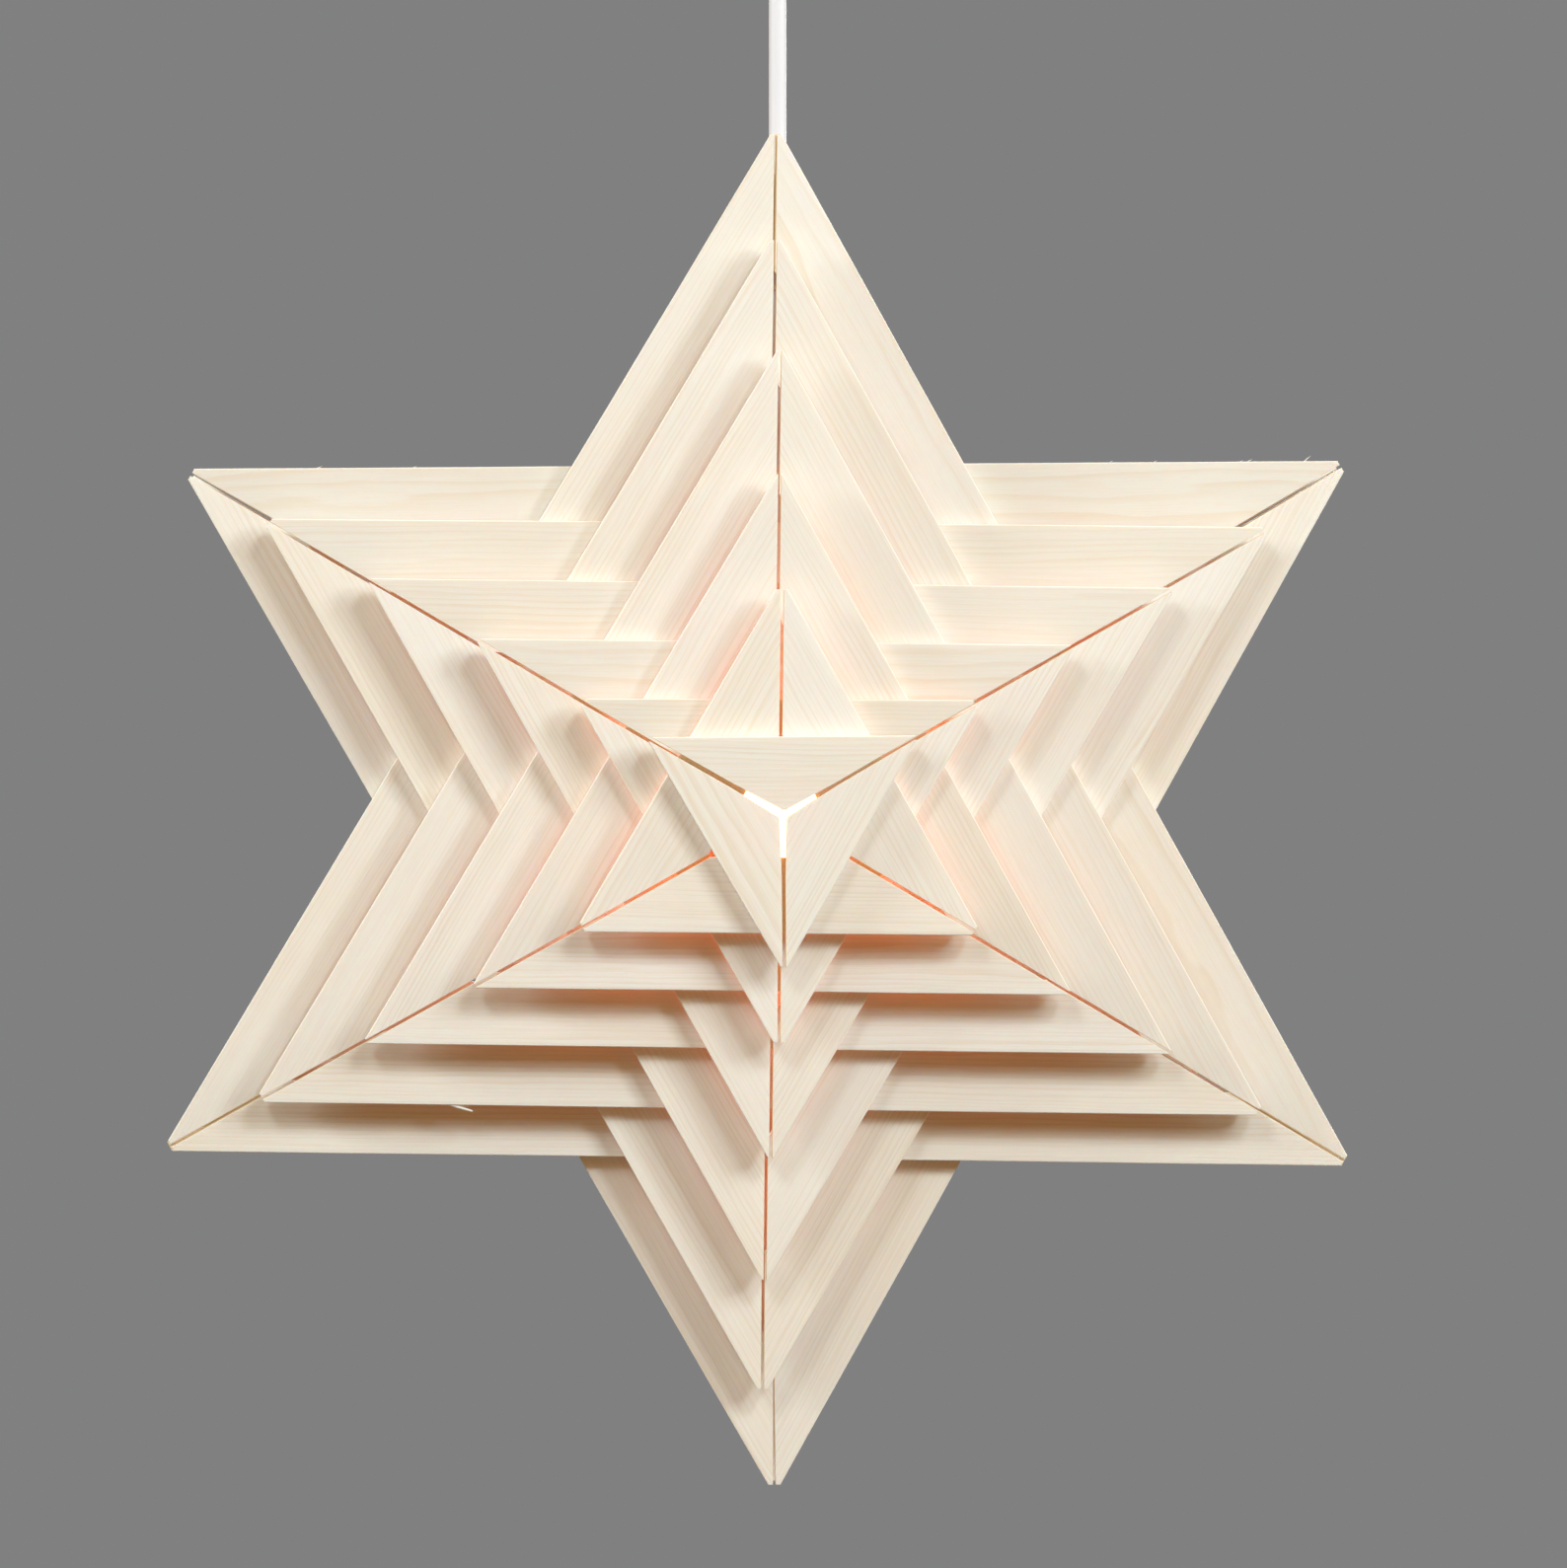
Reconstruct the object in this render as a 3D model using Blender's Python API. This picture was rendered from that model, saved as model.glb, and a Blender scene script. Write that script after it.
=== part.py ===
"""A hanging star lamp of thin pine strips.

Two stacks of triangles, turned half a turn to each other layer by layer, make a six-pointed star round
a small bulb. The star hangs on its own cord from a ceiling cup.

Frame: metres, +Z up, the star faces -Y. The origin is on the ceiling, above the cord.
"""

import math

import bmesh
import bpy

MM = 0.001

# Strips
STRIP_WIDTH = 24 * MM
BACK_STRIP_WIDTH = 30 * MM
STRIP_THICKNESS = 5 * MM
STRIP_ARRIS = 0.5 * MM
GLUE_LINE = 0.3 * MM
FRONT_SLIT = 1.4 * MM
BACK_SLIT = 0.3 * MM
NOSE_HALF_LENGTH = 1 * MM
MITRE = math.radians(30)
LAYER_PITCH = STRIP_THICKNESS + GLUE_LINE

# Distance from the centre of the star to the outer edge of a strip, and how much of each tip is taken
# off, largest triangles first and the back's inner ones last. A tip with nothing taken off is left sharp
INRADII = [size * MM for size in (114.6, 96.9, 77.3, 57.1, 38.5, 25.6, 87.5)]
TIP_BLUNTS = [size * MM for size in (3.6, 3, 0, 0, 3, 0, 3)]

# Each layer: which way it points, the place of its size in the two lists above, and how far hand-laying
# turned it clockwise, in degrees, and left it right of the cord's line and above the star's middle
FRONT_LAYERS = [
    ("down", 0, -0.5, -3.5 * MM, 1.8 * MM),
    ("up", 0, 0.9, -4.8 * MM, 0.1 * MM),
    ("down", 1, 0.4, -4.7 * MM, -0.1 * MM),
    ("up", 1, 0.9, -4.9 * MM, -0.6 * MM),
    ("down", 2, 0.6, -4.1 * MM, -0.7 * MM),
    ("up", 2, 0.9, -3.4 * MM, 0.2 * MM),
    ("down", 3, 0.6, -3.2 * MM, 0),
    ("up", 3, 0.8, -3.2 * MM, -0.7 * MM),
    ("down", 4, 0.2, -1.9 * MM, -0.4 * MM),
    ("up", 4, 0.6, -2.1 * MM, 0),
    ("down", 5, -0.4, -1.3 * MM, 0.3 * MM),
]
BACK_LAYERS = [
    ("down", 0, -0.4, -3.2 * MM, 1.7 * MM),
    ("up", 0, 0.9, -4.4 * MM, 0.1 * MM),
    ("down", 6, 0.5, -4.3 * MM, -0.1 * MM),
    ("up", 6, 0.8, -4.5 * MM, -0.5 * MM),
]

# The directions, in degrees anticlockwise from +X as seen from the front, that the three strips face
SIDES = {
    "down": {"top": 90, "left": 210, "right": 330},
    "up": {"bottom": 270, "right": 30, "left": 150},
}

# Cord and what it passes through
CORD_DIAMETER = 6 * MM
CORD_CLEARANCE = 0.3 * MM
CORD_DROP = 58 * MM
CORD_POINT_STEP = 2.5 * CORD_DIAMETER
CORD_SIDE_ROOM = 1 * MM
LOCK_WALL = 3.2 * MM
LOCK_LENGTH = 12 * MM
LOCK_EDGE = 1 * MM
BLOCK_INSET = 3 * MM
BLOCK_LENGTH = 26 * MM
BLOCK_WALL = 2.4 * MM
BLOCK_EDGE = 0.6 * MM

# Bulb
BULB_RADIUS = 22.5 * MM
BULB_WALL = 0.8 * MM
BULB_NECK_RADIUS = 5.8 * MM
BULB_NECK_LENGTH = 9 * MM
BULB_SHOULDER_RADIUS = 7 * MM
BULB_SHOULDER_LENGTH = 7.6 * MM
CAP_RADIUS = 6.9 * MM
CAP_LENGTH = 17 * MM
CAP_WALL = 0.5 * MM
CAP_TIP_RADIUS = 4 * MM
CAP_TIP_LENGTH = 2.5 * MM
CAP_TAPER = 2.2 * MM

# Lampholder
FIT = 0.3 * MM
SLEEVE_WALL = 0.9 * MM
SLEEVE_LENGTH = 19 * MM
CONTACT_RADIUS = 3.4 * MM
CONTACT_THICKNESS = 3 * MM
HOLDER_RADIUS = 13.5 * MM
HOLDER_WALL = 2 * MM
HOLDER_FLOOR = 4 * MM
HOLDER_UPPER_DEPTH = 14 * MM
HOLDER_LIP = 2 * MM
HOLDER_EDGE = 1.2 * MM
DOME_SPIGOT = 6 * MM
DOME_WALL = 2 * MM
DOME_RISE = 13 * MM
DOME_NOSE_WALL = 1.7 * MM
DOME_SOCKET = 5 * MM

# Ceiling fitting
CUP_RADIUS = 35 * MM
CUP_HEIGHT = 40 * MM
CUP_RIM = 5 * MM
CUP_WALL = 2 * MM
CUP_FLOOR_RADIUS = 13 * MM
PLATE_THICKNESS = 2.5 * MM
PLATE_LIP = 7 * MM
PLATE_SLOT_RADIUS = 2.2 * MM
PLATE_SLOT_TRAVEL = 8 * MM
PLATE_SLOT_CENTRE = 18 * MM
GRIP_STEM_RADIUS = 6.5 * MM
GRIP_FLANGE_RADIUS = 10 * MM
GRIP_FLANGE = 3 * MM
GRIP_NOSE_LENGTH = 14 * MM
GRIP_NOSE_RADIUS = 8.5 * MM
GRIP_MOUTH_LIP = 1.4 * MM
MOUTH_DEPTH = 3 * MM
MOUTH_ROOM = 0.95 * MM
MOUTH_SIDE_ROOM = 0.9 * MM
MOUTH_FLARE = 0.7 * MM

ROUND_STEPS = 28
ARC_STEPS = 8
GLOBE_STEPS = 16

# Levels that the sizes above lead to
CORD_RADIUS = CORD_DIAMETER / 2
CORD_HOLE_RADIUS = CORD_RADIUS + CORD_CLEARANCE
HALF_GAP = CORD_DIAMETER + 2 * CORD_SIDE_ROOM
LOCK_RADIUS = CORD_HOLE_RADIUS + LOCK_WALL
GRIP_MOUTH_Z = -(CUP_HEIGHT + GRIP_NOSE_LENGTH)
CORD_TOP_Z = GRIP_MOUTH_Z + MOUTH_DEPTH - MOUTH_ROOM
STAR_TIP_RADIUS = 2 * INRADII[0] - TIP_BLUNTS[0]
STAR_Z = GRIP_MOUTH_Z - CORD_DROP - STAR_TIP_RADIUS
GLOBE_TOP = math.sqrt(BULB_RADIUS**2 - BULB_SHOULDER_RADIUS**2)
BULB_SHOULDER_TOP = GLOBE_TOP + BULB_SHOULDER_LENGTH
BULB_NECK_TOP = BULB_SHOULDER_TOP + BULB_NECK_LENGTH
CAP_BOTTOM = BULB_SHOULDER_TOP + FIT
CAP_TOP = CAP_BOTTOM + CAP_LENGTH
CAP_TIP_TOP = CAP_TOP + CAP_TIP_LENGTH
SLEEVE_RADIUS = CAP_RADIUS + FIT + SLEEVE_WALL
CONTACT_BOTTOM = CAP_TIP_TOP + FIT
HOLDER_FLOOR_BOTTOM = CONTACT_BOTTOM + CONTACT_THICKNESS + FIT
HOLDER_FLOOR_TOP = HOLDER_FLOOR_BOTTOM + HOLDER_FLOOR
HOLDER_TOP = HOLDER_FLOOR_TOP + HOLDER_UPPER_DEPTH
HOLDER_BOTTOM = HOLDER_FLOOR_BOTTOM - FIT - SLEEVE_LENGTH - HOLDER_LIP
DOME_NOSE_RADIUS = CORD_HOLE_RADIUS + DOME_NOSE_WALL
DOME_BOTTOM = HOLDER_TOP + FIT
DOME_TOP = DOME_BOTTOM + DOME_RISE
CORD_BOTTOM = DOME_TOP - DOME_SOCKET + FIT
BLOCK_FAR = 2 * INRADII[0] - (CORD_HOLE_RADIUS + BLOCK_WALL) / math.tan(MITRE) - BLOCK_INSET / math.sin(MITRE)
BLOCK_NEAR = BLOCK_FAR - BLOCK_LENGTH
BLOCK_THICKNESS = HALF_GAP + 2 * LAYER_PITCH - 2 * GLUE_LINE
LOCK_TOP = BLOCK_NEAR - FIT


def clear_scene():
    """Removes every object, and the meshes and curves that they leave."""
    for obj in list(bpy.data.objects):
        bpy.data.objects.remove(obj, do_unlink=True)
    for mesh in list(bpy.data.meshes):
        bpy.data.meshes.remove(mesh)
    for curve in list(bpy.data.curves):
        bpy.data.curves.remove(curve)


def make_material(name, colour, roughness, metallic=0.0):
    """One plain finish."""
    material = bpy.data.materials.new(name)
    material.use_nodes = True
    shader = material.node_tree.nodes["Principled BSDF"]
    shader.inputs["Base Color"].default_value = (*colour, 1)
    shader.inputs["Roughness"].default_value = roughness
    shader.inputs["Metallic"].default_value = metallic
    material.diffuse_color = (*colour, 1)
    return material


def make_empty(name, place, parent=None):
    """A pivot that pieces hang on. It stands at a place in the world."""
    pivot = bpy.data.objects.new(name, None)
    bpy.context.scene.collection.objects.link(pivot)
    pivot.parent = parent
    pivot.location = [a - b for a, b in zip(place, world_place(parent))]
    return pivot


def world_place(pivot):
    """Where a pivot stands, adding up its parents. No pivot is turned."""
    place = [0.0, 0.0, 0.0]
    while pivot:
        place = [a + b for a, b in zip(place, pivot.location)]
        pivot = pivot.parent
    return place


def add_object(name, mesh, material, pivot, place=(0, 0, 0), turn=0.0):
    """Puts a mesh in the scene under a pivot. The place is in the world and the turn is about Y."""
    obj = bpy.data.objects.new(name, mesh)
    bpy.context.scene.collection.objects.link(obj)
    obj.parent = pivot
    obj.location = [a - b for a, b in zip(place, world_place(pivot))]
    obj.rotation_euler = (0, turn, 0)
    mesh.materials.append(material)
    return obj


def mesh_from(name, build):
    """A mesh that the function build fills, with its faces turned outwards."""
    bm = bmesh.new()
    build(bm)
    bmesh.ops.recalc_face_normals(bm, faces=bm.faces)
    mesh = bpy.data.meshes.new(name)
    bm.to_mesh(mesh)
    bm.free()
    return mesh


def prism_mesh(name, outline, thickness):
    """A board: an outline in X and Z, thick along Y and centred on it."""

    def build(bm):
        verts = [bm.verts.new((x, -thickness / 2, z)) for x, z in outline]
        face = bm.faces.new(verts)
        made = bmesh.ops.extrude_face_region(bm, geom=[face])["geom"]
        moved = [item for item in made if isinstance(item, bmesh.types.BMVert)]
        bmesh.ops.translate(bm, verts=moved, vec=(0, thickness, 0))

    return mesh_from(name, build)


def turned_mesh(name, profile, closed=True):
    """A turned piece: a profile of (radius, height) spun round Z.

    A closed profile makes a ring with a bore. An open one starts and ends on the axis.
    """

    def build(bm):
        verts = [bm.verts.new((radius, 0, height)) for radius, height in profile]
        pairs = list(zip(verts, verts[1:]))
        if closed:
            pairs.append((verts[-1], verts[0]))
        edges = [bm.edges.new(pair) for pair in pairs]
        bmesh.ops.spin(bm, geom=verts + edges, axis=(0, 0, 1), cent=(0, 0, 0), steps=ROUND_STEPS,
                       angle=math.tau, use_merge=True)
        bmesh.ops.remove_doubles(bm, verts=bm.verts, dist=1e-7)
        flat_ends = [
            vert for vert in bm.verts
            if math.hypot(vert.co.x, vert.co.y) < 1e-7
            and all(abs(edge.other_vert(vert).co.z - vert.co.z) < 1e-7 for edge in vert.link_edges)
        ]
        bmesh.ops.dissolve_verts(bm, verts=flat_ends)

    mesh = mesh_from(name, build)
    mesh.shade_smooth()
    mesh.set_sharp_from_angle(angle=math.radians(40))
    return mesh


def add_turned(name, profile, material, pivot, height=0.0, closed=True):
    """Puts a turned piece in the scene, with its profile's zero at a height in the world."""
    return add_object(name, turned_mesh(name, profile, closed), material, pivot, (0, 0, height))


def arc(centre, radius, start, end, steps=ARC_STEPS):
    """Points of (radius, height) along an arc, with both ends. The angles are in degrees."""
    angles = [math.radians(start + (end - start) * step / steps) for step in range(steps + 1)]
    return [(centre[0] + radius * math.cos(a), centre[1] + radius * math.sin(a)) for a in angles]


def round_edges(obj, width, segments=1):
    """Breaks the sharp edges of a board."""
    bevel = obj.modifiers.new("broken_edges", "BEVEL")
    bevel.width = width
    bevel.segments = segments
    bevel.limit_method = "ANGLE"
    bevel.angle_limit = math.radians(20)


def cut(obj, cutter):
    """Takes a hidden cutter out of a piece."""
    cutter.hide_render = True
    cutter.display_type = "WIRE"
    boolean = obj.modifiers.new("cut_" + cutter.name, "BOOLEAN")
    boolean.operation = "DIFFERENCE"
    boolean.object = cutter


def cylinder_mesh(name, radius, low, high):
    """A plain cylinder on Z, for cutting."""
    return turned_mesh(name, [(0, low), (radius, low), (radius, high), (0, high)], closed=False)


def strip_outline(inradius, tip_blunt, width, slit):
    """Half a strip is mirrored: outer edge, tip, mitred end and inner edge, round the strip's middle.

    The mitre runs towards the centre of the star, half a slit back from the corner's middle line.
    """
    slope = 1 / math.tan(MITRE)
    inner = max(inradius - width, (slit + NOSE_HALF_LENGTH) / slope)
    blunt = inradius - (tip_blunt - slit * math.cos(MITRE)) / 2
    if blunt < inradius:
        edge_end = inradius * slope - tip_blunt / math.cos(MITRE)
        tip = [(edge_end, inradius), (blunt * slope - slit, blunt)]
    else:
        tip = [(inradius * slope - slit, inradius)]
    half = [*tip, (inner * slope - slit, inner)]
    middle = inradius - width / 2
    right = [(x, z - middle) for x, z in half]
    left = [(-x, z) for x, z in reversed(right)]
    return right + left


def add_layer(stack, number, layer, toward, material, pivot):
    """One triangle of three strips. The number counts from the middle of the star, from 1."""
    pointing, size, turn, right, up = layer
    inradius = INRADII[size]
    width, slit = (STRIP_WIDTH, FRONT_SLIT) if toward < 0 else (BACK_STRIP_WIDTH, BACK_SLIT)
    depth = HALF_GAP / 2 + (number - 1) * LAYER_PITCH + STRIP_THICKNESS / 2
    reach = inradius - width / 2
    for side, facing in SIDES[pointing].items():
        name = f"{stack}_layer_{number:02d}_{side}"
        mesh = prism_mesh(name, strip_outline(inradius, TIP_BLUNTS[size], width, slit), STRIP_THICKNESS)
        angle = math.radians(facing - turn)
        place = (right + reach * math.cos(angle), toward * depth, STAR_Z + up + reach * math.sin(angle))
        strip = add_object(name, mesh, material, pivot, place, math.radians(90) - angle)
        round_edges(strip, STRIP_ARRIS)


def block_outline():
    """A block inside a star point, set out from the star's centre and narrow towards the point."""
    near_half = (2 * INRADII[0] - BLOCK_NEAR) * math.tan(MITRE) - BLOCK_INSET / math.cos(MITRE)
    far_half = (2 * INRADII[0] - BLOCK_FAR) * math.tan(MITRE) - BLOCK_INSET / math.cos(MITRE)
    return [(near_half, BLOCK_NEAR), (far_half, BLOCK_FAR), (-far_half, BLOCK_FAR), (-near_half, BLOCK_NEAR)]


def add_blocks(material, pivot):
    """Three blocks that join the front stack to the back one.

    The cord runs through the top one. The other two follow the points that they are in.
    """
    _, _, lean, right, up = FRONT_LAYERS[1]
    under_points = (right, 0, STAR_Z + up)
    for name, turn, place in (
        ("top_block", 0, (0, 0, STAR_Z)),
        ("right_block", 120 + lean, under_points),
        ("left_block", 240 + lean, under_points),
    ):
        mesh = prism_mesh(name, block_outline(), BLOCK_THICKNESS)
        block = add_object(name, mesh, material, pivot, place, math.radians(turn))
        round_edges(block, BLOCK_EDGE)
        if name == "top_block":
            low = BLOCK_NEAR - LOCK_LENGTH
            high = BLOCK_FAR + LOCK_LENGTH
            hole = cylinder_mesh("cord_hole", CORD_HOLE_RADIUS, low, high)
            cut(block, add_object("cord_hole", hole, material, pivot, (0, 0, STAR_Z)))


def add_cord(material, pivot):
    """The cord from the ceiling grip to the lampholder, straight under the star's weight."""
    low = STAR_Z + CORD_BOTTOM
    steps = math.ceil((CORD_TOP_Z - low) / CORD_POINT_STEP)
    curve = bpy.data.curves.new("cord", "CURVE")
    curve.dimensions = "3D"
    curve.bevel_depth = CORD_RADIUS
    curve.bevel_resolution = 3
    curve.use_fill_caps = True
    spline = curve.splines.new("POLY")
    spline.points.add(steps)
    for step, point in enumerate(spline.points):
        point.co = (0, 0, (low - CORD_TOP_Z) * step / steps, 1)
    add_object("cord", curve, material, pivot, (0, 0, CORD_TOP_Z))


def add_cord_lock(material, pivot):
    """The collar clamped on the cord under the top block. It carries the star."""
    low = LOCK_TOP - LOCK_LENGTH
    profile = [
        (CORD_HOLE_RADIUS, LOCK_TOP),
        (LOCK_RADIUS, LOCK_TOP),
        (LOCK_RADIUS, low + LOCK_EDGE),
        (LOCK_RADIUS - LOCK_EDGE, low),
        (CORD_HOLE_RADIUS, low),
    ]
    add_turned("cord_lock", profile, material, pivot, STAR_Z)


def bulb_outline(radius, neck, shoulder):
    """From the bottom of the globe up to its neck. The globe ends where it is as wide as the shoulder."""
    end = math.degrees(math.acos(shoulder / radius))
    globe = arc((0, 0), radius, -90, end, steps=GLOBE_STEPS)
    globe[0] = (0, -radius)
    return [*globe, (shoulder, BULB_SHOULDER_TOP), (neck, BULB_SHOULDER_TOP), (neck, BULB_NECK_TOP)]


def add_bulb(glass, metal, pivot):
    """A round opal bulb with a screw cap. The glass is open at its neck, inside the cap."""
    outside = bulb_outline(BULB_RADIUS, BULB_NECK_RADIUS, BULB_SHOULDER_RADIUS)
    inside_neck = BULB_NECK_RADIUS - BULB_WALL
    inside_radius = BULB_RADIUS - BULB_WALL
    inside_end = math.degrees(math.acos(inside_neck / inside_radius))
    inside = arc((0, 0), inside_radius, inside_end, -90, steps=GLOBE_STEPS)
    inside[-1] = (0, -inside_radius)
    profile = [*outside, (inside_neck, BULB_NECK_TOP), *inside]
    add_turned("bulb_glass", profile, glass, pivot, STAR_Z, closed=False)
    bore = BULB_NECK_RADIUS + FIT
    roof = BULB_NECK_TOP + FIT
    cap = [
        (0, roof),
        (bore, roof),
        (bore, CAP_BOTTOM),
        (CAP_RADIUS, CAP_BOTTOM),
        (CAP_RADIUS, CAP_TOP - CAP_TAPER),
        (CAP_TIP_RADIUS + CAP_WALL, CAP_TOP),
        (CAP_TIP_RADIUS, CAP_TIP_TOP),
        (0, CAP_TIP_TOP),
    ]
    add_turned("bulb_cap", cap, metal, pivot, STAR_Z, closed=False)


def add_lampholder(plastic, brass, pivot):
    """The holder on the end of the cord: shell, screw sleeve, centre contact and dome."""
    bore = SLEEVE_RADIUS + FIT
    upper = HOLDER_RADIUS - HOLDER_WALL
    mouth = CAP_RADIUS + FIT + SLEEVE_WALL / 2
    shell = [
        (0, HOLDER_FLOOR_TOP),
        (upper, HOLDER_FLOOR_TOP),
        (upper, HOLDER_TOP),
        (HOLDER_RADIUS, HOLDER_TOP),
        (HOLDER_RADIUS, HOLDER_BOTTOM + HOLDER_EDGE),
        (HOLDER_RADIUS - HOLDER_EDGE, HOLDER_BOTTOM),
        (mouth, HOLDER_BOTTOM),
        (mouth, HOLDER_BOTTOM + HOLDER_LIP - FIT),
        (bore, HOLDER_BOTTOM + HOLDER_LIP - FIT),
        (bore, HOLDER_FLOOR_BOTTOM),
        (0, HOLDER_FLOOR_BOTTOM),
    ]
    add_turned("lampholder_shell", shell, plastic, pivot, STAR_Z, closed=False)
    sleeve_low = HOLDER_BOTTOM + HOLDER_LIP
    sleeve = [
        (SLEEVE_RADIUS - SLEEVE_WALL, sleeve_low + SLEEVE_LENGTH),
        (SLEEVE_RADIUS, sleeve_low + SLEEVE_LENGTH),
        (SLEEVE_RADIUS, sleeve_low),
        (SLEEVE_RADIUS - SLEEVE_WALL, sleeve_low),
    ]
    add_turned("lampholder_sleeve", sleeve, brass, pivot, STAR_Z)
    contact = [
        (0, CONTACT_BOTTOM),
        (CONTACT_RADIUS / 2, CONTACT_BOTTOM),
        (CONTACT_RADIUS, CONTACT_BOTTOM + CONTACT_THICKNESS / 2),
        (CONTACT_RADIUS, CONTACT_BOTTOM + CONTACT_THICKNESS),
        (0, CONTACT_BOTTOM + CONTACT_THICKNESS),
    ]
    add_turned("lampholder_contact", contact, brass, pivot, STAR_Z, closed=False)
    spigot = upper - FIT
    socket_floor = DOME_TOP - DOME_SOCKET
    dome_inside = spigot - DOME_WALL
    dome = [
        (0, DOME_BOTTOM),
        (dome_inside, DOME_BOTTOM),
        (dome_inside, DOME_BOTTOM - DOME_SPIGOT),
        (spigot, DOME_BOTTOM - DOME_SPIGOT),
        (spigot, DOME_BOTTOM),
        (HOLDER_RADIUS, DOME_BOTTOM),
        *dome_curve(),
        (CORD_HOLE_RADIUS, DOME_TOP),
        (CORD_HOLE_RADIUS, socket_floor),
        (0, socket_floor),
    ]
    add_turned("lampholder_dome", dome, plastic, pivot, STAR_Z, closed=False)


def dome_curve():
    """A quarter of an ellipse from the edge of the holder up to the nose round the cord."""
    width = HOLDER_RADIUS - DOME_NOSE_RADIUS
    turns = [math.radians(90 * step / ARC_STEPS) for step in range(1, ARC_STEPS + 1)]
    return [
        (DOME_NOSE_RADIUS + width * math.cos(a), DOME_BOTTOM + DOME_RISE * math.sin(a))
        for a in turns
    ]


def cup_side(inset):
    """From the ceiling down the cup's side: a straight rim, then a bell. The inside runs a wall inset."""
    top_radius = CUP_RADIUS - inset
    low_radius = CUP_FLOOR_RADIUS - inset
    low = inset - CUP_HEIGHT
    swing = top_radius - low_radius
    fall = -CUP_RIM - low
    turns = [math.radians(90 * step / ARC_STEPS) for step in range(ARC_STEPS + 1)]
    bell = [(low_radius + swing * math.cos(a), -CUP_RIM - fall * math.sin(a)) for a in turns]
    return [(top_radius, 0), *bell]


def add_ceiling_fitting(plastic, steel, pivot):
    """The plate on the ceiling and the cup that hangs on it."""
    hole = GRIP_STEM_RADIUS + FIT
    floor = [(hole, -CUP_HEIGHT), (hole, CUP_WALL - CUP_HEIGHT)]
    add_turned("ceiling_cup", [*cup_side(0), *floor, *reversed(cup_side(CUP_WALL))], plastic, pivot)
    edge = CUP_RADIUS - CUP_WALL - FIT
    lip = edge - PLATE_THICKNESS
    lip_low = -min(PLATE_LIP, CUP_RIM)
    plate = [
        (0, 0),
        (edge, 0),
        (edge, lip_low),
        (lip, lip_low),
        (lip, -PLATE_THICKNESS),
        (0, -PLATE_THICKNESS),
    ]
    plate_object = add_turned("ceiling_plate", plate, steel, pivot, closed=False)
    for side, toward in (("right", 1), ("left", -1)):
        name = f"{side}_screw_slot"
        slot = add_object(name, slot_mesh(name), steel, pivot, (toward * PLATE_SLOT_CENTRE, 0, 0))
        cut(plate_object, slot)


def slot_mesh(name):
    """A round-ended slot along X, for cutting through the plate."""
    half = PLATE_SLOT_TRAVEL / 2

    def build(bm):
        outline = []
        for middle, start in ((half, -90), (-half, 90)):
            outline += arc((middle, 0), PLATE_SLOT_RADIUS, start, start + 180)
        verts = [bm.verts.new((x, y, -2 * PLATE_THICKNESS)) for x, y in outline]
        face = bm.faces.new(verts)
        made = bmesh.ops.extrude_face_region(bm, geom=[face])["geom"]
        moved = [item for item in made if isinstance(item, bmesh.types.BMVert)]
        bmesh.ops.translate(bm, verts=moved, vec=(0, 0, 4 * PLATE_THICKNESS))

    return mesh_from(name, build)


def add_cord_grip(plastic, pivot):
    """The nipple that turns in the cup's floor. Its flared mouth lets the cord swing."""
    flange_low = CUP_WALL - CUP_HEIGHT + FIT
    nose_top = -CUP_HEIGHT - FIT
    mouth = CORD_RADIUS + MOUTH_SIDE_ROOM
    profile = [
        (0, flange_low + GRIP_FLANGE),
        (GRIP_FLANGE_RADIUS, flange_low + GRIP_FLANGE),
        (GRIP_FLANGE_RADIUS, flange_low),
        (GRIP_STEM_RADIUS, flange_low),
        (GRIP_STEM_RADIUS, nose_top),
        (GRIP_NOSE_RADIUS, nose_top),
        (GRIP_NOSE_RADIUS, nose_top - GRIP_FLANGE),
        (mouth + MOUTH_FLARE + GRIP_MOUTH_LIP, GRIP_MOUTH_Z),
        (mouth + MOUTH_FLARE, GRIP_MOUTH_Z),
        (mouth, GRIP_MOUTH_Z + MOUTH_DEPTH),
        (0, GRIP_MOUTH_Z + MOUTH_DEPTH),
    ]
    add_turned("cord_grip", profile, plastic, pivot, closed=False)


def main():
    """Builds the star and its fitting."""
    clear_scene()
    pine = make_material("pale_pine", (0.84, 0.74, 0.58), 0.6)
    white_plastic = make_material("white_plastic", (0.86, 0.86, 0.84), 0.4)
    cord_plastic = make_material("white_cord", (0.88, 0.88, 0.87), 0.45)
    opal = make_material("opal_glass", (0.97, 0.93, 0.84), 0.3)
    nickel = make_material("nickel", (0.72, 0.70, 0.66), 0.3, 1.0)
    brass = make_material("brass", (0.80, 0.62, 0.30), 0.3, 1.0)
    steel = make_material("zinc_steel", (0.62, 0.63, 0.64), 0.4, 1.0)

    ceiling = make_empty("ceiling", (0, 0, 0))
    grip = make_empty("grip", (0, 0, GRIP_MOUTH_Z), ceiling)
    star = make_empty("star", (0, 0, CORD_TOP_Z), grip)
    bulb = make_empty("bulb", (0, 0, STAR_Z), star)

    for number, layer in enumerate(FRONT_LAYERS, start=1):
        add_layer("front", number, layer, -1, pine, star)
    for number, layer in enumerate(BACK_LAYERS, start=1):
        add_layer("back", number, layer, 1, pine, star)
    add_blocks(pine, star)
    add_cord(cord_plastic, star)
    add_cord_lock(white_plastic, star)
    add_lampholder(white_plastic, brass, star)
    add_bulb(opal, nickel, bulb)
    add_ceiling_fitting(white_plastic, steel, ceiling)
    add_cord_grip(white_plastic, grip)


main()
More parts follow.
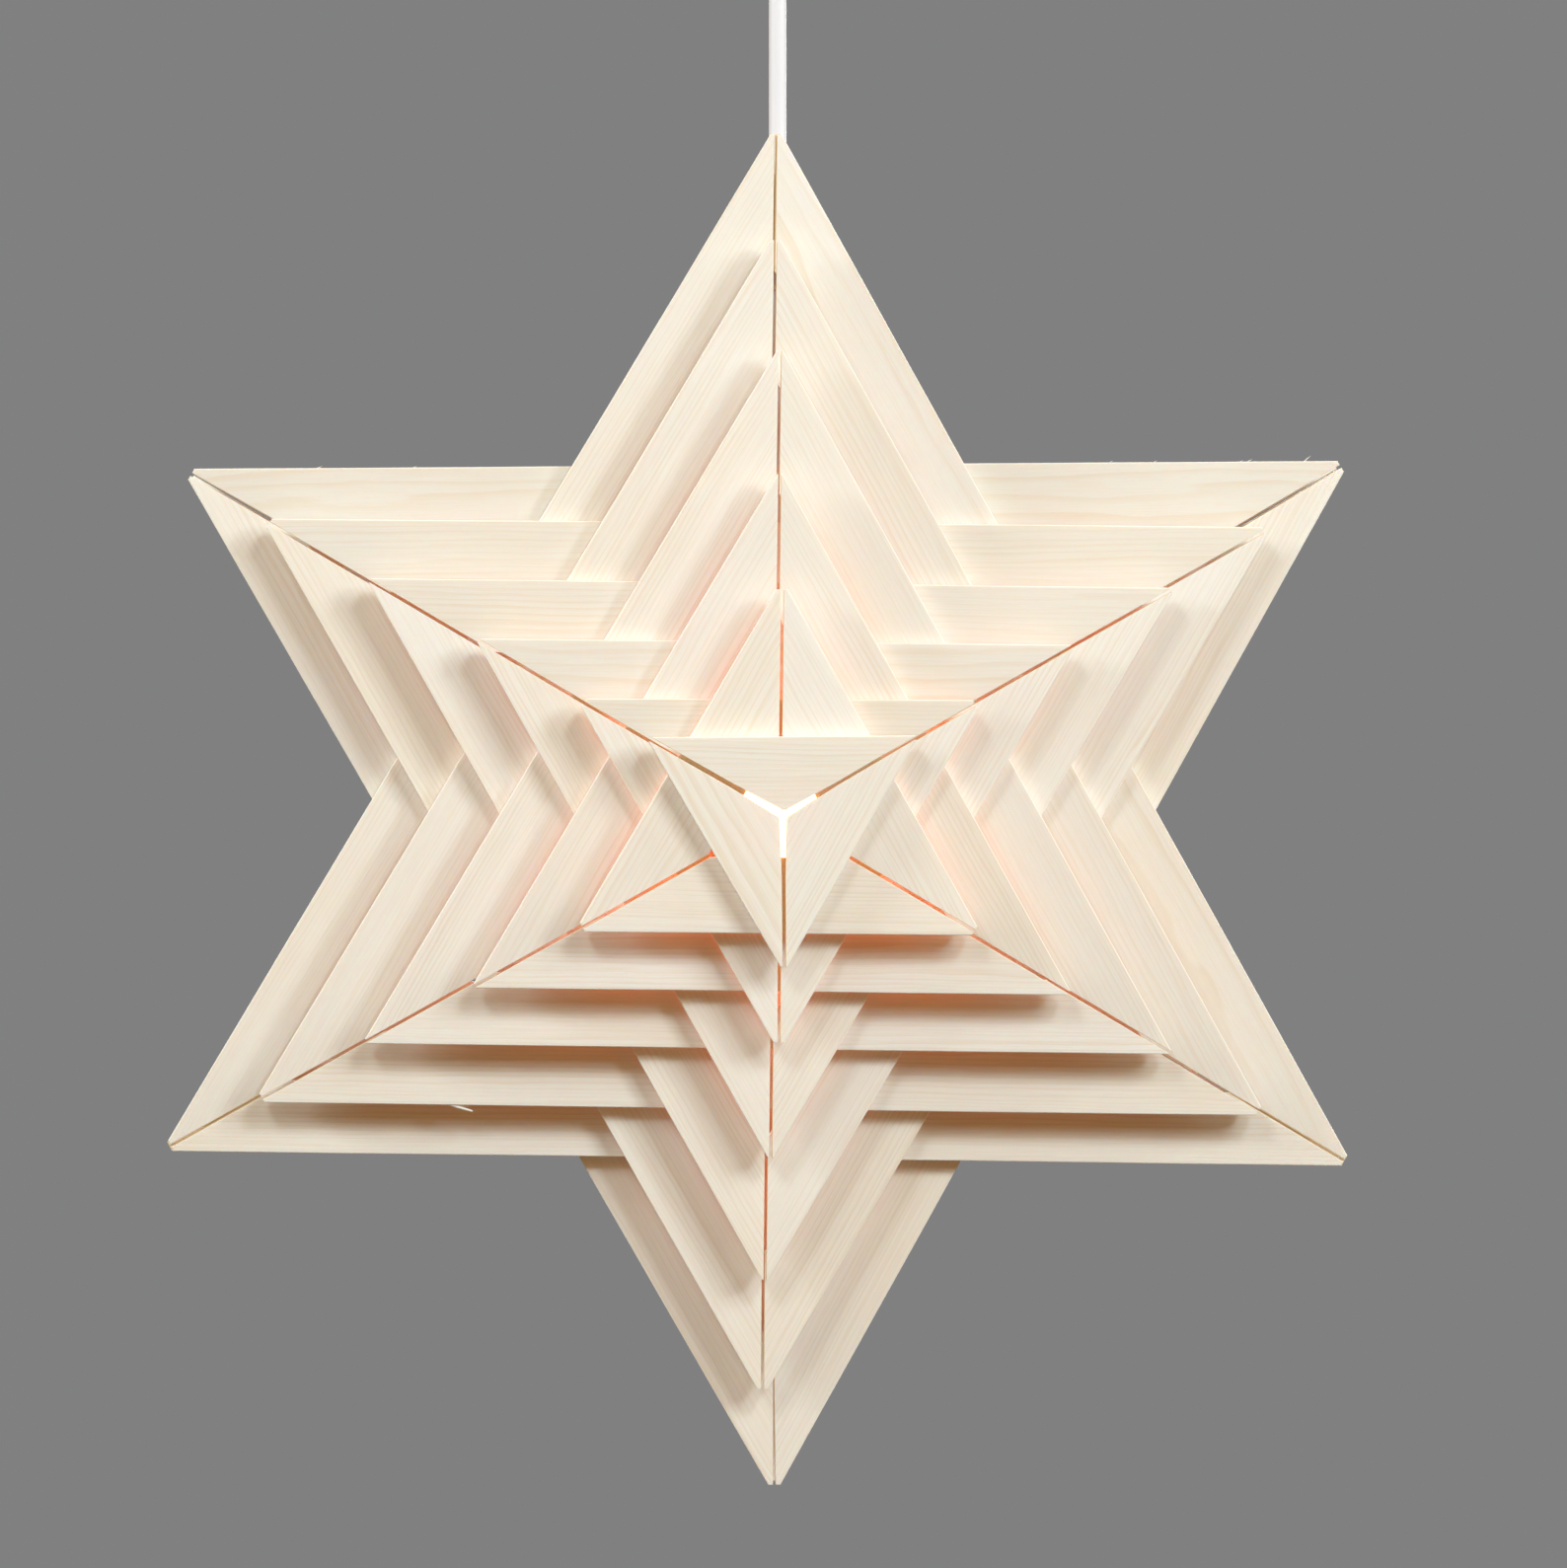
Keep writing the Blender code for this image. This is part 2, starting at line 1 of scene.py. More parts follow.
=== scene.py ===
"""Looks of the hanging star lamp of pale pine strips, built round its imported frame.

Metres, +Z up, the star faces -Y, and the origin is on the ceiling above the cord.
"""

import logging
import math
import random
from dataclasses import dataclass, field
from enum import Enum
from typing import Callable, ClassVar, Sequence

import bmesh
import bpy
from mathutils import Matrix, Vector


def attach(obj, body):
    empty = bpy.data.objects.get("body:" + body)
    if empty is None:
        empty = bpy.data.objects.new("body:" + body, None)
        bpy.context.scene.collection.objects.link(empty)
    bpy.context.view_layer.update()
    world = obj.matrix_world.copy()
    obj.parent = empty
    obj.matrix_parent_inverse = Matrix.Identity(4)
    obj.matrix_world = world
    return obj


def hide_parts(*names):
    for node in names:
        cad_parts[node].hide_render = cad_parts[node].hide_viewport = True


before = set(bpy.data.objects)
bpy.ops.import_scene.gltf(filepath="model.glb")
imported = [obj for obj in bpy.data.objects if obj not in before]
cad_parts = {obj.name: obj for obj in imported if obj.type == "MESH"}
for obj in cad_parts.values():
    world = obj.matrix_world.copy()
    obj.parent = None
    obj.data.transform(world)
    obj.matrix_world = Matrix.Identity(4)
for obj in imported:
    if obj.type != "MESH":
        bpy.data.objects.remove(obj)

LOG = logging.getLogger("star_lamp")
MM = 0.001
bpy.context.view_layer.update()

Colour = tuple[float, float, float]
Point2 = tuple[float, float]
Point3 = tuple[float, float, float]
Swell = Callable[[float, float, float], float]

STAR_Z = -337.6 * MM
MITRE = math.radians(30)
QUARTER_TURN = math.pi / 2
SHARP_EDGE = math.radians(38)
NEARLY_STRAIGHT = math.radians(12)
ON_AXIS = 1e-7


class Body(Enum):
    """The bodies of the frame that pieces ride on."""

    CEILING = "ceiling"
    GRIP = "grip"
    STAR = "star"
    BULB = "bulb"


class Slot(Enum):
    """The record's material slots."""

    PINE = "pale_pine"
    CORD = "white_cord"
    PLASTIC = "white_plastic"
    OPAL = "opal_glass"
    NICKEL = "nickel"
    BRASS = "brass"
    STEEL = "zinc_steel"


class Cut(Enum):
    """How a strip was sawn from the log: the angle from its face to the heart, in degrees."""

    QUARTER = 0.0
    RIFT = 35.0
    FLAT = 80.0


class Half(Enum):
    """The star's halves, and the way along Y that each one is stacked."""

    FRONT = -1
    BACK = 1


class Pointing(Enum):
    """The way a triangle points: which way each of its sides faces, in degrees, and how far that side is darkened and
    yellowed, partly the wood's own yellowing and partly painted shade for how light falls on it.
    """

    # The second number of each side darkens and yellows its strips: partly the wood's own yellowing, partly painted
    # shade for how light falls on that side.
    DOWN = {"top": (90, 0.65), "left": (210, 0.15), "right": (330, 0.20)}
    UP = {"bottom": (270, 0.15), "right": (30, 0.30), "left": (150, 0.30)}


class Term:
    """A socket that takes part in Python expressions on values."""

    def __init__(self, sheet: "NodeSheet", socket: bpy.types.NodeSocket) -> None:
        """Keeps the node sheet and the socket.

        Args:
            sheet: the node sheet that new nodes go on.
            socket: an output socket on it.
        """
        self.sheet = sheet
        self.socket = socket

    def __add__(self, other: "Term | float") -> "Term":
        """This plus other."""
        return self.sheet.calc("ADD", self, other)

    def __radd__(self, other: float) -> "Term":
        """A number plus this."""
        return self.sheet.calc("ADD", other, self)

    def __sub__(self, other: "Term | float") -> "Term":
        """This less other."""
        return self.sheet.calc("SUBTRACT", self, other)

    def __rsub__(self, other: float) -> "Term":
        """A number less this."""
        return self.sheet.calc("SUBTRACT", other, self)

    def __mul__(self, other: "Term | float") -> "Term":
        """This times other."""
        return self.sheet.calc("MULTIPLY", self, other)

    def __rmul__(self, other: float) -> "Term":
        """A number times this."""
        return self.sheet.calc("MULTIPLY", other, self)

    def __truediv__(self, other: "Term | float") -> "Term":
        """This over other."""
        return self.sheet.calc("DIVIDE", self, other)

    def __rtruediv__(self, other: float) -> "Term":
        """A number over this."""
        return self.sheet.calc("DIVIDE", other, self)

    def fraction(self) -> "Term":
        """What is left after the whole number."""
        return self.sheet.calc("FRACT", self)

    def limited(self) -> "Term":
        """This kept from 0 to 1."""
        return self.sheet.calc("MINIMUM", self.sheet.calc("MAXIMUM", self, 0.0), 1.0)


class NodeSheet:
    """The node tree of one material or world, and the one method that adds to it."""

    def __init__(self, tree: bpy.types.NodeTree) -> None:
        """Keeps the tree."""
        self.tree = tree

    def feed(self, socket: bpy.types.NodeSocket, value: Term | float | Sequence[float]) -> None:
        """Links a term to a socket, or sets the socket's own value.

        Args:
            socket: an input socket of the tree.
            value: a term, a number, a colour or a vector.
        """
        if isinstance(value, Term):
            self.tree.links.new(value.socket, socket)
        elif socket.type == "RGBA":
            socket.default_value = (*value, 1.0)
        else:
            socket.default_value = value

    def node(self, kind: str, settings: dict, sockets: dict) -> bpy.types.Node:
        """Adds a node: its settings first, then the values or links of its sockets.

        Args:
            kind: the node's type.
            settings: its attributes by name; "stops" sets a ramp's places and grey levels.
            sockets: numbers, colours or terms by the socket's name or place.

        Returns:
            The node.
        """
        made = self.tree.nodes.new(kind)
        for name, value in settings.items():
            if name == "stops":
                self.set_stops(made.color_ramp, value)
            else:
                setattr(made, name, value)
        for name, value in sockets.items():
            self.feed(made.inputs[name], value)
        return made

    def make(self, kind: str, settings: dict, sockets: dict, output: int | str = 0) -> Term:
        """Adds a node and gives one of its outputs.

        Args:
            kind: the node's type.
            settings: as for node().
            sockets: as for node().
            output: the name or place of the output.

        Returns:
            That output.
        """
        return Term(self, self.node(kind, settings, sockets).outputs[output])

    def calc(self, operation: str, *values: Term | float) -> Term:
        """A Math node on terms and numbers.

        Args:
            operation: the node's operation.
            values: what goes in its sockets, in order.

        Returns:
            Its value.
        """
        return self.make("ShaderNodeMath", {"operation": operation}, dict(enumerate(values)))

    @staticmethod
    def set_stops(ramp: bpy.types.ColorRamp, stops: Sequence[Point2]) -> None:
        """Gives a ramp its places and grey levels.

        Args:
            ramp: a ramp that still has its two first stops.
            stops: place and level of each stop, in rising order.
        """
        for _ in stops[2:]:
            ramp.elements.new(0.5)
        for element, (place, _) in zip(ramp.elements, stops):
            element.position = place
        for element, (_, level) in zip(ramp.elements, stops):
            element.color = (level, level, level, 1.0)

    def ramp(self, value: Term, stops: Sequence[Point2], easing: str = "LINEAR") -> Term:
        """A value led through grey stops.

        Args:
            value: the value from 0 to 1.
            stops: place and level of each stop, in rising order.
            easing: the ramp's interpolation.

        Returns:
            The level.
        """
        colour = self.make("ShaderNodeValToRGB", {"stops": stops}, {"Fac": value})
        colour.socket.node.color_ramp.interpolation = easing
        return self.make("ShaderNodeSeparateColor", {}, {"Color": colour})

    def mix(self, share: Term | float, first: Term | Colour, second: Term | Colour) -> Term:
        """Mixes two colours.

        Args:
            share: how much of the second, from 0 to 1.
            first: the first colour.
            second: the second colour.

        Returns:
            The colour.
        """
        return self.make("ShaderNodeMix", {"data_type": "RGBA"}, {0: share, 6: first, 7: second}, 2)

    def scaled(self, vector: Term, by: Sequence[float]) -> Term:
        """A vector times a number on each axis."""
        return self.make("ShaderNodeVectorMath", {"operation": "MULTIPLY"}, {0: vector, 1: tuple(by)})

    def length(self, vector: Term) -> Term:
        """How long a vector is."""
        return self.make("ShaderNodeVectorMath", {"operation": "LENGTH"}, {0: vector}, "Value")

    def axes(self, vector: Term) -> list[Term]:
        """The three parts of a vector."""
        parts = self.node("ShaderNodeSeparateXYZ", {}, {"Vector": vector})
        return [Term(self, part) for part in parts.outputs]

    def attribute(self, name: str, output: str) -> Term:
        """What the mesh carries under a name."""
        return self.make("ShaderNodeAttribute", {"attribute_name": name}, {}, output)

    def noise(self, vector: Term, scale: float | Point3, detail: float = 2.0, roughness: float = 0.5) -> Term:
        """Smooth noise from 0 to 1.

        Args:
            vector: where it is read.
            scale: lumps per unit of the vector, the same all ways or for each axis.
            detail: octaves.
            roughness: how strong the fine octaves are.

        Returns:
            Its value.
        """
        if isinstance(scale, tuple):
            vector, scale = self.scaled(vector, scale), 1.0
        sockets = {"Vector": vector, "Scale": scale, "Detail": detail, "Roughness": roughness}
        return self.make("ShaderNodeTexNoise", {"noise_dimensions": "3D"}, sockets)

    def bump(self, height: Term, strength: float, distance: float) -> Term:
        """A normal tilted by a height.

        Args:
            height: from 0 to 1.
            strength: the Bump node's strength.
            distance: how far a height of 1 stands up, in metres.

        Returns:
            The normal.
        """
        sockets = {"Height": height, "Strength": strength, "Distance": distance}
        return self.make("ShaderNodeBump", {}, sockets)

    def seen(self) -> Term:
        """One where the camera, a reflection or glass shows it, and nought where it only gives light.

        Returns:
            The share.
        """
        rays = self.node("ShaderNodeLightPath", {}, {}).outputs
        names = ("Is Camera Ray", "Is Glossy Ray", "Is Transmission Ray")
        camera, glossy, through = (Term(self, rays[name]) for name in names)
        return self.calc("MAXIMUM", self.calc("MAXIMUM", camera, glossy), through)


class SurfaceSheet(NodeSheet):
    """The node sheet of a surface, with its Principled shader."""

    def __init__(self, name: str) -> None:
        """Makes a material of that name."""
        self.material = bpy.data.materials.new(name)
        self.material.use_nodes = True
        super().__init__(self.material.node_tree)
        self.shader = self.tree.nodes["Principled BSDF"]

    def set(self, **sockets: Term | float | Sequence[float]) -> bpy.types.Material:
        """Sets or links sockets of the shader.

        Args:
            sockets: values or terms, with _ for each space of the socket's name.

        Returns:
            The material.
        """
        for name, value in sockets.items():
            self.feed(self.shader.inputs[name.replace("_", " ")], value)
        return self.material

    def place(self) -> Term:
        """Where a point is on its object, in metres."""
        return self.make("ShaderNodeTexCoord", {}, {}, "Object")

    def place_mm(self) -> Term:
        """Where a point is on its object, in millimetres."""
        return self.scaled(self.place(), (1 / MM, 1 / MM, 1 / MM))


@dataclass(frozen=True)
class PineFinish:
    """Bare, pale, close-ringed pine, lit by the bulb behind it and also given a painted glow for that light.

    Each piece carries its grain, which is where it was in the log, in millimetres, its age and shade, which is how far
    it is darkened and yellowed, partly by age and partly as painted shade, and its marks: how much painted glow a
    point gives for the bulb's light, whether that is end grain, and whether it is on an arris, with a painted
    highlight.
    The lumps are those of the noises, per millimetre along, through and across the wood.
    """

    grain: ClassVar[str] = "grain"
    marks: ClassVar[str] = "marks"
    age: ClassVar[str] = "age"

    early: Colour = (0.868, 0.862, 0.822)
    late: Colour = (0.720, 0.600, 0.440)
    warm: Colour = (0.870, 0.838, 0.755)
    # A darker, yellower colour for age and for painted shade by side.
    aged_and_shaded: Colour = (0.745, 0.726, 0.655)
    end: Colour = (0.76, 0.67, 0.50)
    # Painted highlight on the rounded arrises, where they catch the light.
    arris: Colour = (0.950, 0.925, 0.865)
    # Emission colours and strength of a painted glow: inner faces glow orange and slit walls tan, for the bulb's light
    # leaking between the layers.
    unlit: Colour = (0.0, 0.0, 0.0)
    painted_glow_inner: Colour = (1.0, 0.14, 0.02)
    painted_glow_walls: Colour = (0.20, 0.110, 0.045)
    painted_glow_far_walls: Colour = (0.085, 0.080, 0.062)
    strength: float = 1.1
    fibre_lumps: Point3 = (0.05, 2.6, 2.6)
    sway_lumps: Point3 = (0.012, 0.07, 0.07)
    wave_lumps: Point3 = (0.06, 0.3, 0.3)
    year_lumps: float = 0.21
    season_lumps: Point3 = (0.004, 0.11, 0.11)
    fleck_lumps: Point3 = (0.22, 4.5, 4.5)
    tone_lumps: Point3 = (0.006, 0.02, 0.02)
    year_stops: Sequence[Point2] = ((0.0, 0.0), (0.50, 0.06), (0.82, 0.85), (0.91, 1.0), (1.0, 0.0))
    ring_width: float = 1.75
    slow_bend: float = 3.4
    fine_bend: float = 0.5
    year_spread: float = 5.0
    ring_share: float = 0.42
    fibre_from: float = 0.42
    fibre_share: float = 0.85
    fleck_share: float = 0.20
    arris_highlight_share: float = 0.6
    end_share: float = 0.9

    def material(self) -> bpy.types.Material:
        """Rings, fibres, slow changes of tone, painted shade by side, a painted highlight on the arrises and a painted
        glow from inside.

        Returns:
            The material.
        """
        sheet = SurfaceSheet("pale_pine_wood")
        grain = sheet.attribute(self.grain, "Vector")
        late = self.late_wood(sheet, grain)
        fibre = sheet.noise(grain, self.fibre_lumps, 3.0, 0.6)
        painted_glow, end, arris = sheet.axes(sheet.attribute(self.marks, "Vector"))
        # Painted highlight: the arrises are mixed towards a paler colour.
        eased = sheet.mix(arris * self.arris_highlight_share, self.face(sheet, grain, late, fibre), self.arris)
        # Painted glow: end faces and inner faces emit light for the bulb's light that leaks out of the slits and
        # between the layers.
        walls = sheet.mix(painted_glow, self.painted_glow_far_walls, self.painted_glow_walls)
        faces = sheet.mix(painted_glow, self.unlit, self.painted_glow_inner)
        return sheet.set(
            Base_Color=sheet.mix(end * self.end_share, eased, self.end),
            Roughness=0.50 + fibre * 0.2,
            Specular_IOR_Level=0.30,
            Subsurface_Weight=0.30,
            Subsurface_Radius=(1.0, 0.5, 0.25),
            Subsurface_Scale=4 * MM,
            Emission_Color=sheet.mix(end, faces, walls),
            Emission_Strength=self.strength,
            Normal=sheet.bump(late * 0.35 + fibre * 0.65, 0.22, 0.12 * MM),
        )

    def late_wood(self, sheet: SurfaceSheet, grain: Term) -> Term:
        """How far each point is in the dark late wood of its year.

        Args:
            sheet: the wood's sheet.
            grain: where the point was in the log.

        Returns:
            From 0 to 1.
        """
        radius = sheet.length(sheet.scaled(grain, (0.0, 1.0, 1.0)))
        sway = sheet.noise(grain, self.sway_lumps)
        waves = sheet.noise(grain, self.wave_lumps, 1.0)
        spread = sheet.noise(sheet.make("ShaderNodeCombineXYZ", {}, {"X": radius}), self.year_lumps)
        bent = radius + (sway - 0.5) * self.slow_bend + (waves - 0.5) * self.fine_bend
        year = ((bent + (spread - 0.5) * self.year_spread) / self.ring_width).fraction()
        return sheet.ramp(year, self.year_stops)

    def face(self, sheet: SurfaceSheet, grain: Term, late: Term, fibre: Term) -> Term:
        """The colour of a planed face.

        Args:
            sheet: the wood's sheet.
            grain: where the point was in the log.
            late: how far it is in late wood.
            fibre: its fine fibre.

        Returns:
            The colour.
        """
        season = sheet.noise(grain, self.season_lumps, 1.0)
        strong = sheet.ramp(season, [(0.30, 0.22), (0.70, 1.0)], "EASE")
        fleck = sheet.ramp(sheet.noise(grain, self.fleck_lumps, 1.0), [(0.66, 0.0), (0.76, 1.0)])
        tone = sheet.ramp(sheet.noise(grain, self.tone_lumps), [(0.35, 0.0), (0.68, 1.0)], "EASE")
        # The age and shade attribute mixes towards that colour: partly yellowing, partly painted shade.
        base = sheet.mix(sheet.attribute(self.age, "Fac"), sheet.mix(tone, self.early, self.warm), self.aged_and_shaded)
        ringed = sheet.mix(late * strong * self.ring_share, base, self.late)
        streaked = sheet.mix((fibre - self.fibre_from).limited() * self.fibre_share, ringed, self.late)
        return sheet.mix(fleck * self.fleck_share, streaked, self.late)


@dataclass(frozen=True)
class SheathFinish:
    """The cord's white sheath, with fine drawing lines along it."""

    colour: Colour = (0.770, 0.785, 0.830)
    shade: Colour = (0.74, 0.74, 0.735)
    line_lumps: Point3 = (1.6, 1.6, 0.02)
    mottle_lumps: Point3 = (0.5, 0.5, 0.15)
    line_from: float = 0.35
    line_share: float = 0.35
    mottle_share: float = 0.08

    def material(self) -> bpy.types.Material:
        """Drawing lines and a faint mottle.

        Returns:
            The material.
        """
        sheet = SurfaceSheet("white_cord_sheath")
        place = sheet.place_mm()
        lines = sheet.noise(place, self.line_lumps)
        mottle = sheet.noise(place, self.mottle_lumps, 3.0)
        shaded = (lines - self.line_from).limited() * self.line_share + mottle * self.mottle_share
        return sheet.set(
            Base_Color=sheet.mix(shaded, self.colour, self.shade),
            Roughness=0.36 + mottle * 0.16,
            Specular_IOR_Level=0.45,
            Normal=sheet.bump(lines * 0.7 + mottle * 0.3, 0.20, 0.08 * MM),
        )


@dataclass(frozen=True)
class MouldedFinish:
    """White moulded plastic with a fine spark-eroded skin."""

    colour: Colour = (0.80, 0.80, 0.785)
    shade: Colour = (0.68, 0.67, 0.64)
    skin_lumps: float = 3.2
    flow_lumps: Point3 = (0.05, 0.05, 0.18)
    flow_from: float = 0.40
    flow_share: float = 0.55

    def material(self) -> bpy.types.Material:
        """A fine pebbled skin, slow flow marks and a little handling.

        Returns:
            The material.
        """
        sheet = SurfaceSheet("white_moulded_plastic")
        place = sheet.place_mm()
        skin = sheet.noise(place, self.skin_lumps)
        flow = sheet.noise(place, self.flow_lumps, 3.0)
        shaded = (flow - self.flow_from).limited() * self.flow_share
        return sheet.set(
            Base_Color=sheet.mix(shaded, self.colour, self.shade),
            Roughness=0.34 + skin * 0.14 + flow * 0.06,
            Specular_IOR_Level=0.5,
            Normal=sheet.bump(skin, 0.16, 0.05 * MM),
        )


@dataclass(frozen=True)
class OpalFinish:
    """Lit opal glass, a little dimmer and warmer towards its neck."""

    glass: Colour = (0.86, 0.83, 0.76)
    clouded: Colour = (0.78, 0.74, 0.66)
    glow: Colour = (1.0, 0.30, 0.14)
    neck_glow: Colour = (0.62, 0.15, 0.05)
    strength: float = 8.0
    cloud_lumps: float = 0.09
    neck_height: float = 34.0
    neck_share: float = 0.9
    cloud_share: float = 0.3

    def material(self) -> bpy.types.Material:
        """An even glow that falls off up the neck.

        Returns:
            The material.
        """
        sheet = SurfaceSheet("lit_opal_glass")
        place = sheet.place_mm()
        height = sheet.axes(place)[2]
        cloud = sheet.noise(place, self.cloud_lumps, 3.0)
        neck = sheet.ramp((height / self.neck_height).limited(), [(0.30, 0.0), (0.95, 1.0)], "EASE")
        dimmed = (neck * self.neck_share + (cloud - 0.5) * 0.25).limited()
        return sheet.set(
            Base_Color=sheet.mix(cloud * self.cloud_share, self.glass, self.clouded),
            Roughness=0.20 + cloud * 0.12,
            Emission_Color=sheet.mix(dimmed, self.glow, self.neck_glow),
            Emission_Strength=self.strength,
        )


@dataclass(frozen=True)
class MetalFinish:
    """A turned or pressed metal skin with a lay of fine marks and some tarnish."""

    name: str
    colour: Colour
    tarnish: Colour
    roughness: float
    lay: Point3 = (0.3, 0.3, 5.0)
    cloud_lumps: float = 0.22
    tarnish_share: float = 0.55

    def material(self) -> bpy.types.Material:
        """Fine marks along the lay and cloudy tarnish.

        Returns:
            The material.
        """
        sheet = SurfaceSheet(self.name)
        place = sheet.place_mm()
        marks = sheet.noise(place, self.lay)
        cloud = sheet.noise(place, self.cloud_lumps, 4.0, 0.6)
        dull = sheet.ramp(cloud, [(0.42, 0.0), (0.72, 1.0)], "EASE")
        return sheet.set(
            Base_Color=sheet.mix(dull * self.tarnish_share, self.colour, self.tarnish),
            Metallic=1.0,
            Roughness=self.roughness + marks * 0.14 + dull * 0.16,
            Normal=sheet.bump(marks, 0.16, 0.04 * MM),
        )


class Finishes:
    """One material for each slot of the record."""

    def __init__(self) -> None:
        """Makes them all once."""
        finishes = {
            Slot.PINE: PineFinish(),
            Slot.CORD: SheathFinish(),
            Slot.PLASTIC: MouldedFinish(),
            Slot.OPAL: OpalFinish(),
            Slot.NICKEL: MetalFinish("nickel_plate", (0.66, 0.64, 0.60), (0.44, 0.41, 0.36), 0.22),
            Slot.BRASS: MetalFinish("pressed_brass", (0.78, 0.58, 0.27), (0.46, 0.32, 0.15), 0.26),
            Slot.STEEL: MetalFinish("zinc_plated_steel", (0.60, 0.61, 0.62), (0.44, 0.45, 0.47), 0.34,
                                    lay=(0.25, 4.0, 0.25)),
        }
        self.by_slot = {slot: finish.material() for slot, finish in finishes.items()}

    def __getitem__(self, slot: Slot) -> bpy.types.Material:
        """The material of a slot."""
        return self.by_slot[slot]


class Bench:
    """Puts finished meshes in the scene, on their bodies and in their slots."""

    def __init__(self, finishes: Finishes) -> None:
        """Keeps the materials."""
        self.finishes = finishes

    def add(self, name: str, mesh: bpy.types.Mesh, body: Body, slot: Slot, nodes: Sequence[str] = (),
            matrix: Matrix | None = None) -> bpy.types.Object:
        """Adds a piece.

        Args:
            name: the piece's name.
            mesh: its mesh.
            body: the body that it rides on.
            slot: its finish.
            nodes: the nodes of the frame that it stands for.
            matrix: its place, or None for the origin.

        Returns:
            The piece.
        """
        piece = bpy.data.objects.new(name, mesh)
        bpy.context.scene.collection.objects.link(piece)
        mesh.materials.append(self.finishes[slot])
        if matrix is not None:
            piece.matrix_world = matrix
        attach(piece, body.value)
        if nodes:
            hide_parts(*nodes)
        LOG.info("%s on %s, %d faces", name, body.value, len(mesh.polygons))
        return piece

    def add_in_star(self, mesh: bpy.types.Mesh, slot: Slot, node: str) -> None:
        """Adds a turned piece of the star, whose heights are from the star's centre.

        Args:
            mesh: its mesh, which has the piece's name.
            slot: its finish.
            node: the node of the frame that it stands for.
        """
        mesh.transform(Matrix.Translation((0.0, 0.0, STAR_Z)))
        self.add(mesh.name, mesh, Body.STAR, slot, [node])

    def dress_node(self, node: str, slot: Slot) -> None:
        """Gives a node of the frame that stays in view its finish.

        Args:
            node: the node's name.
            slot: its finish.
        """
        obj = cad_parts[node]
        if not obj.material_slots:
            raise ValueError(f"{node} has no material slot")
        for place in obj.material_slots:
            place.material = self.finishes[slot]
        LOG.info("%s keeps its shape", node)


def cast(name: str, bm: bmesh.types.BMesh) -> bpy.types.Mesh:
    """A mesh from a closed bmesh, which is freed, with its faces turned outwards.

    Args:
        name: the mesh's name.
        bm: the bmesh.

    Returns:
        The mesh.
    """
    bmesh.ops.recalc_face_normals(bm, faces=bm.faces)
    mesh = bpy.data.meshes.new(name)
    bm.to_mesh(mesh)
    bm.free()
    return mesh


def mesh_of(name: str, points: Sequence[Sequence[float]], faces: Sequence[Sequence[int]]) -> bpy.types.Mesh:
    """A closed mesh with its faces turned outwards.

    Args:
        name: the mesh's name.
        points: its points.
        faces: point numbers of each face.

    Returns:
        The mesh.
    """
    bm = bmesh.new()
    verts = [bm.verts.new(point) for point in points]
    for face in faces:
        bm.faces.new([verts[index] for index in face])
    return cast(name, bm)


def smoothed(mesh: bpy.types.Mesh) -> bpy.types.Mesh:
    """The mesh shaded smooth but for its sharp edges."""
    mesh.shade_smooth()
    mesh.set_sharp_from_angle(angle=SHARP_EDGE)
    return mesh


def softened(profile: Sequence[Point2], radius: float, steps: int = 3, most: float = 0.45) -> list[Point2]:
    """Rounds the corners of an open line of points.

    Args:
        profile: the line. Its two ends stay.
        radius: how far each round runs along its two sides.
        steps: pieces in each round.
        most: the largest share of a side that a round takes.

    Returns:
        The rounded line.
    """
    made = [profile[0]]
    for before, corner, after in zip(profile, profile[1:], profile[2:]):
        point = Vector(corner)
        one = Vector(before) - point
        two = Vector(after) - point
        if math.pi - one.angle(two, math.pi) < NEARLY_STRAIGHT:
            made.append(corner)
            continue
        start = point + one.normalized() * min(radius, one.length * most)
        end = point + two.normalized() * min(radius, two.length * most)
        for step in range(steps + 1):
            share = step / steps
            curve = start * (1 - share) ** 2 + point * (2 * share * (1 - share)) + end * share**2
            made.append((curve.x, curve.y))
    return [*made, profile[-1]]


def arc(centre: Point2, radii: Point2, start: float, end: float, steps: int) -> list[Point2]:
    """Points along an arc of an ellipse, with both ends.

    Args:
        centre: its middle.
        radii: its half width and half height.
        start: first angle, in degrees.
        end: last angle, in degrees.
        steps: pieces in it.

    Returns:
        The points.
    """
    turns = [math.radians(start + (end - start) * step / steps) for step in range(steps + 1)]
    return [(centre[0] + radii[0] * math.cos(a), centre[1] + radii[1] * math.sin(a)) for a in turns]


def finely(profile: Sequence[Point2], longest: float) -> list[Point2]:
    """The same line with no piece longer than a length.

    Args:
        profile: the line.
        longest: the longest piece.

    Returns:
        The line with points added.
    """
    made = [profile[0]]
    for (x0, z0), (x1, z1) in zip(profile, profile[1:]):
        count = max(1, math.ceil(math.dist((x0, z0), (x1, z1)) / longest))
        shares = [step / count for step in range(1, count + 1)]
        made += [(x0 + (x1 - x0) * share, z0 + (z1 - z0) * share) for share in shares]
    return made


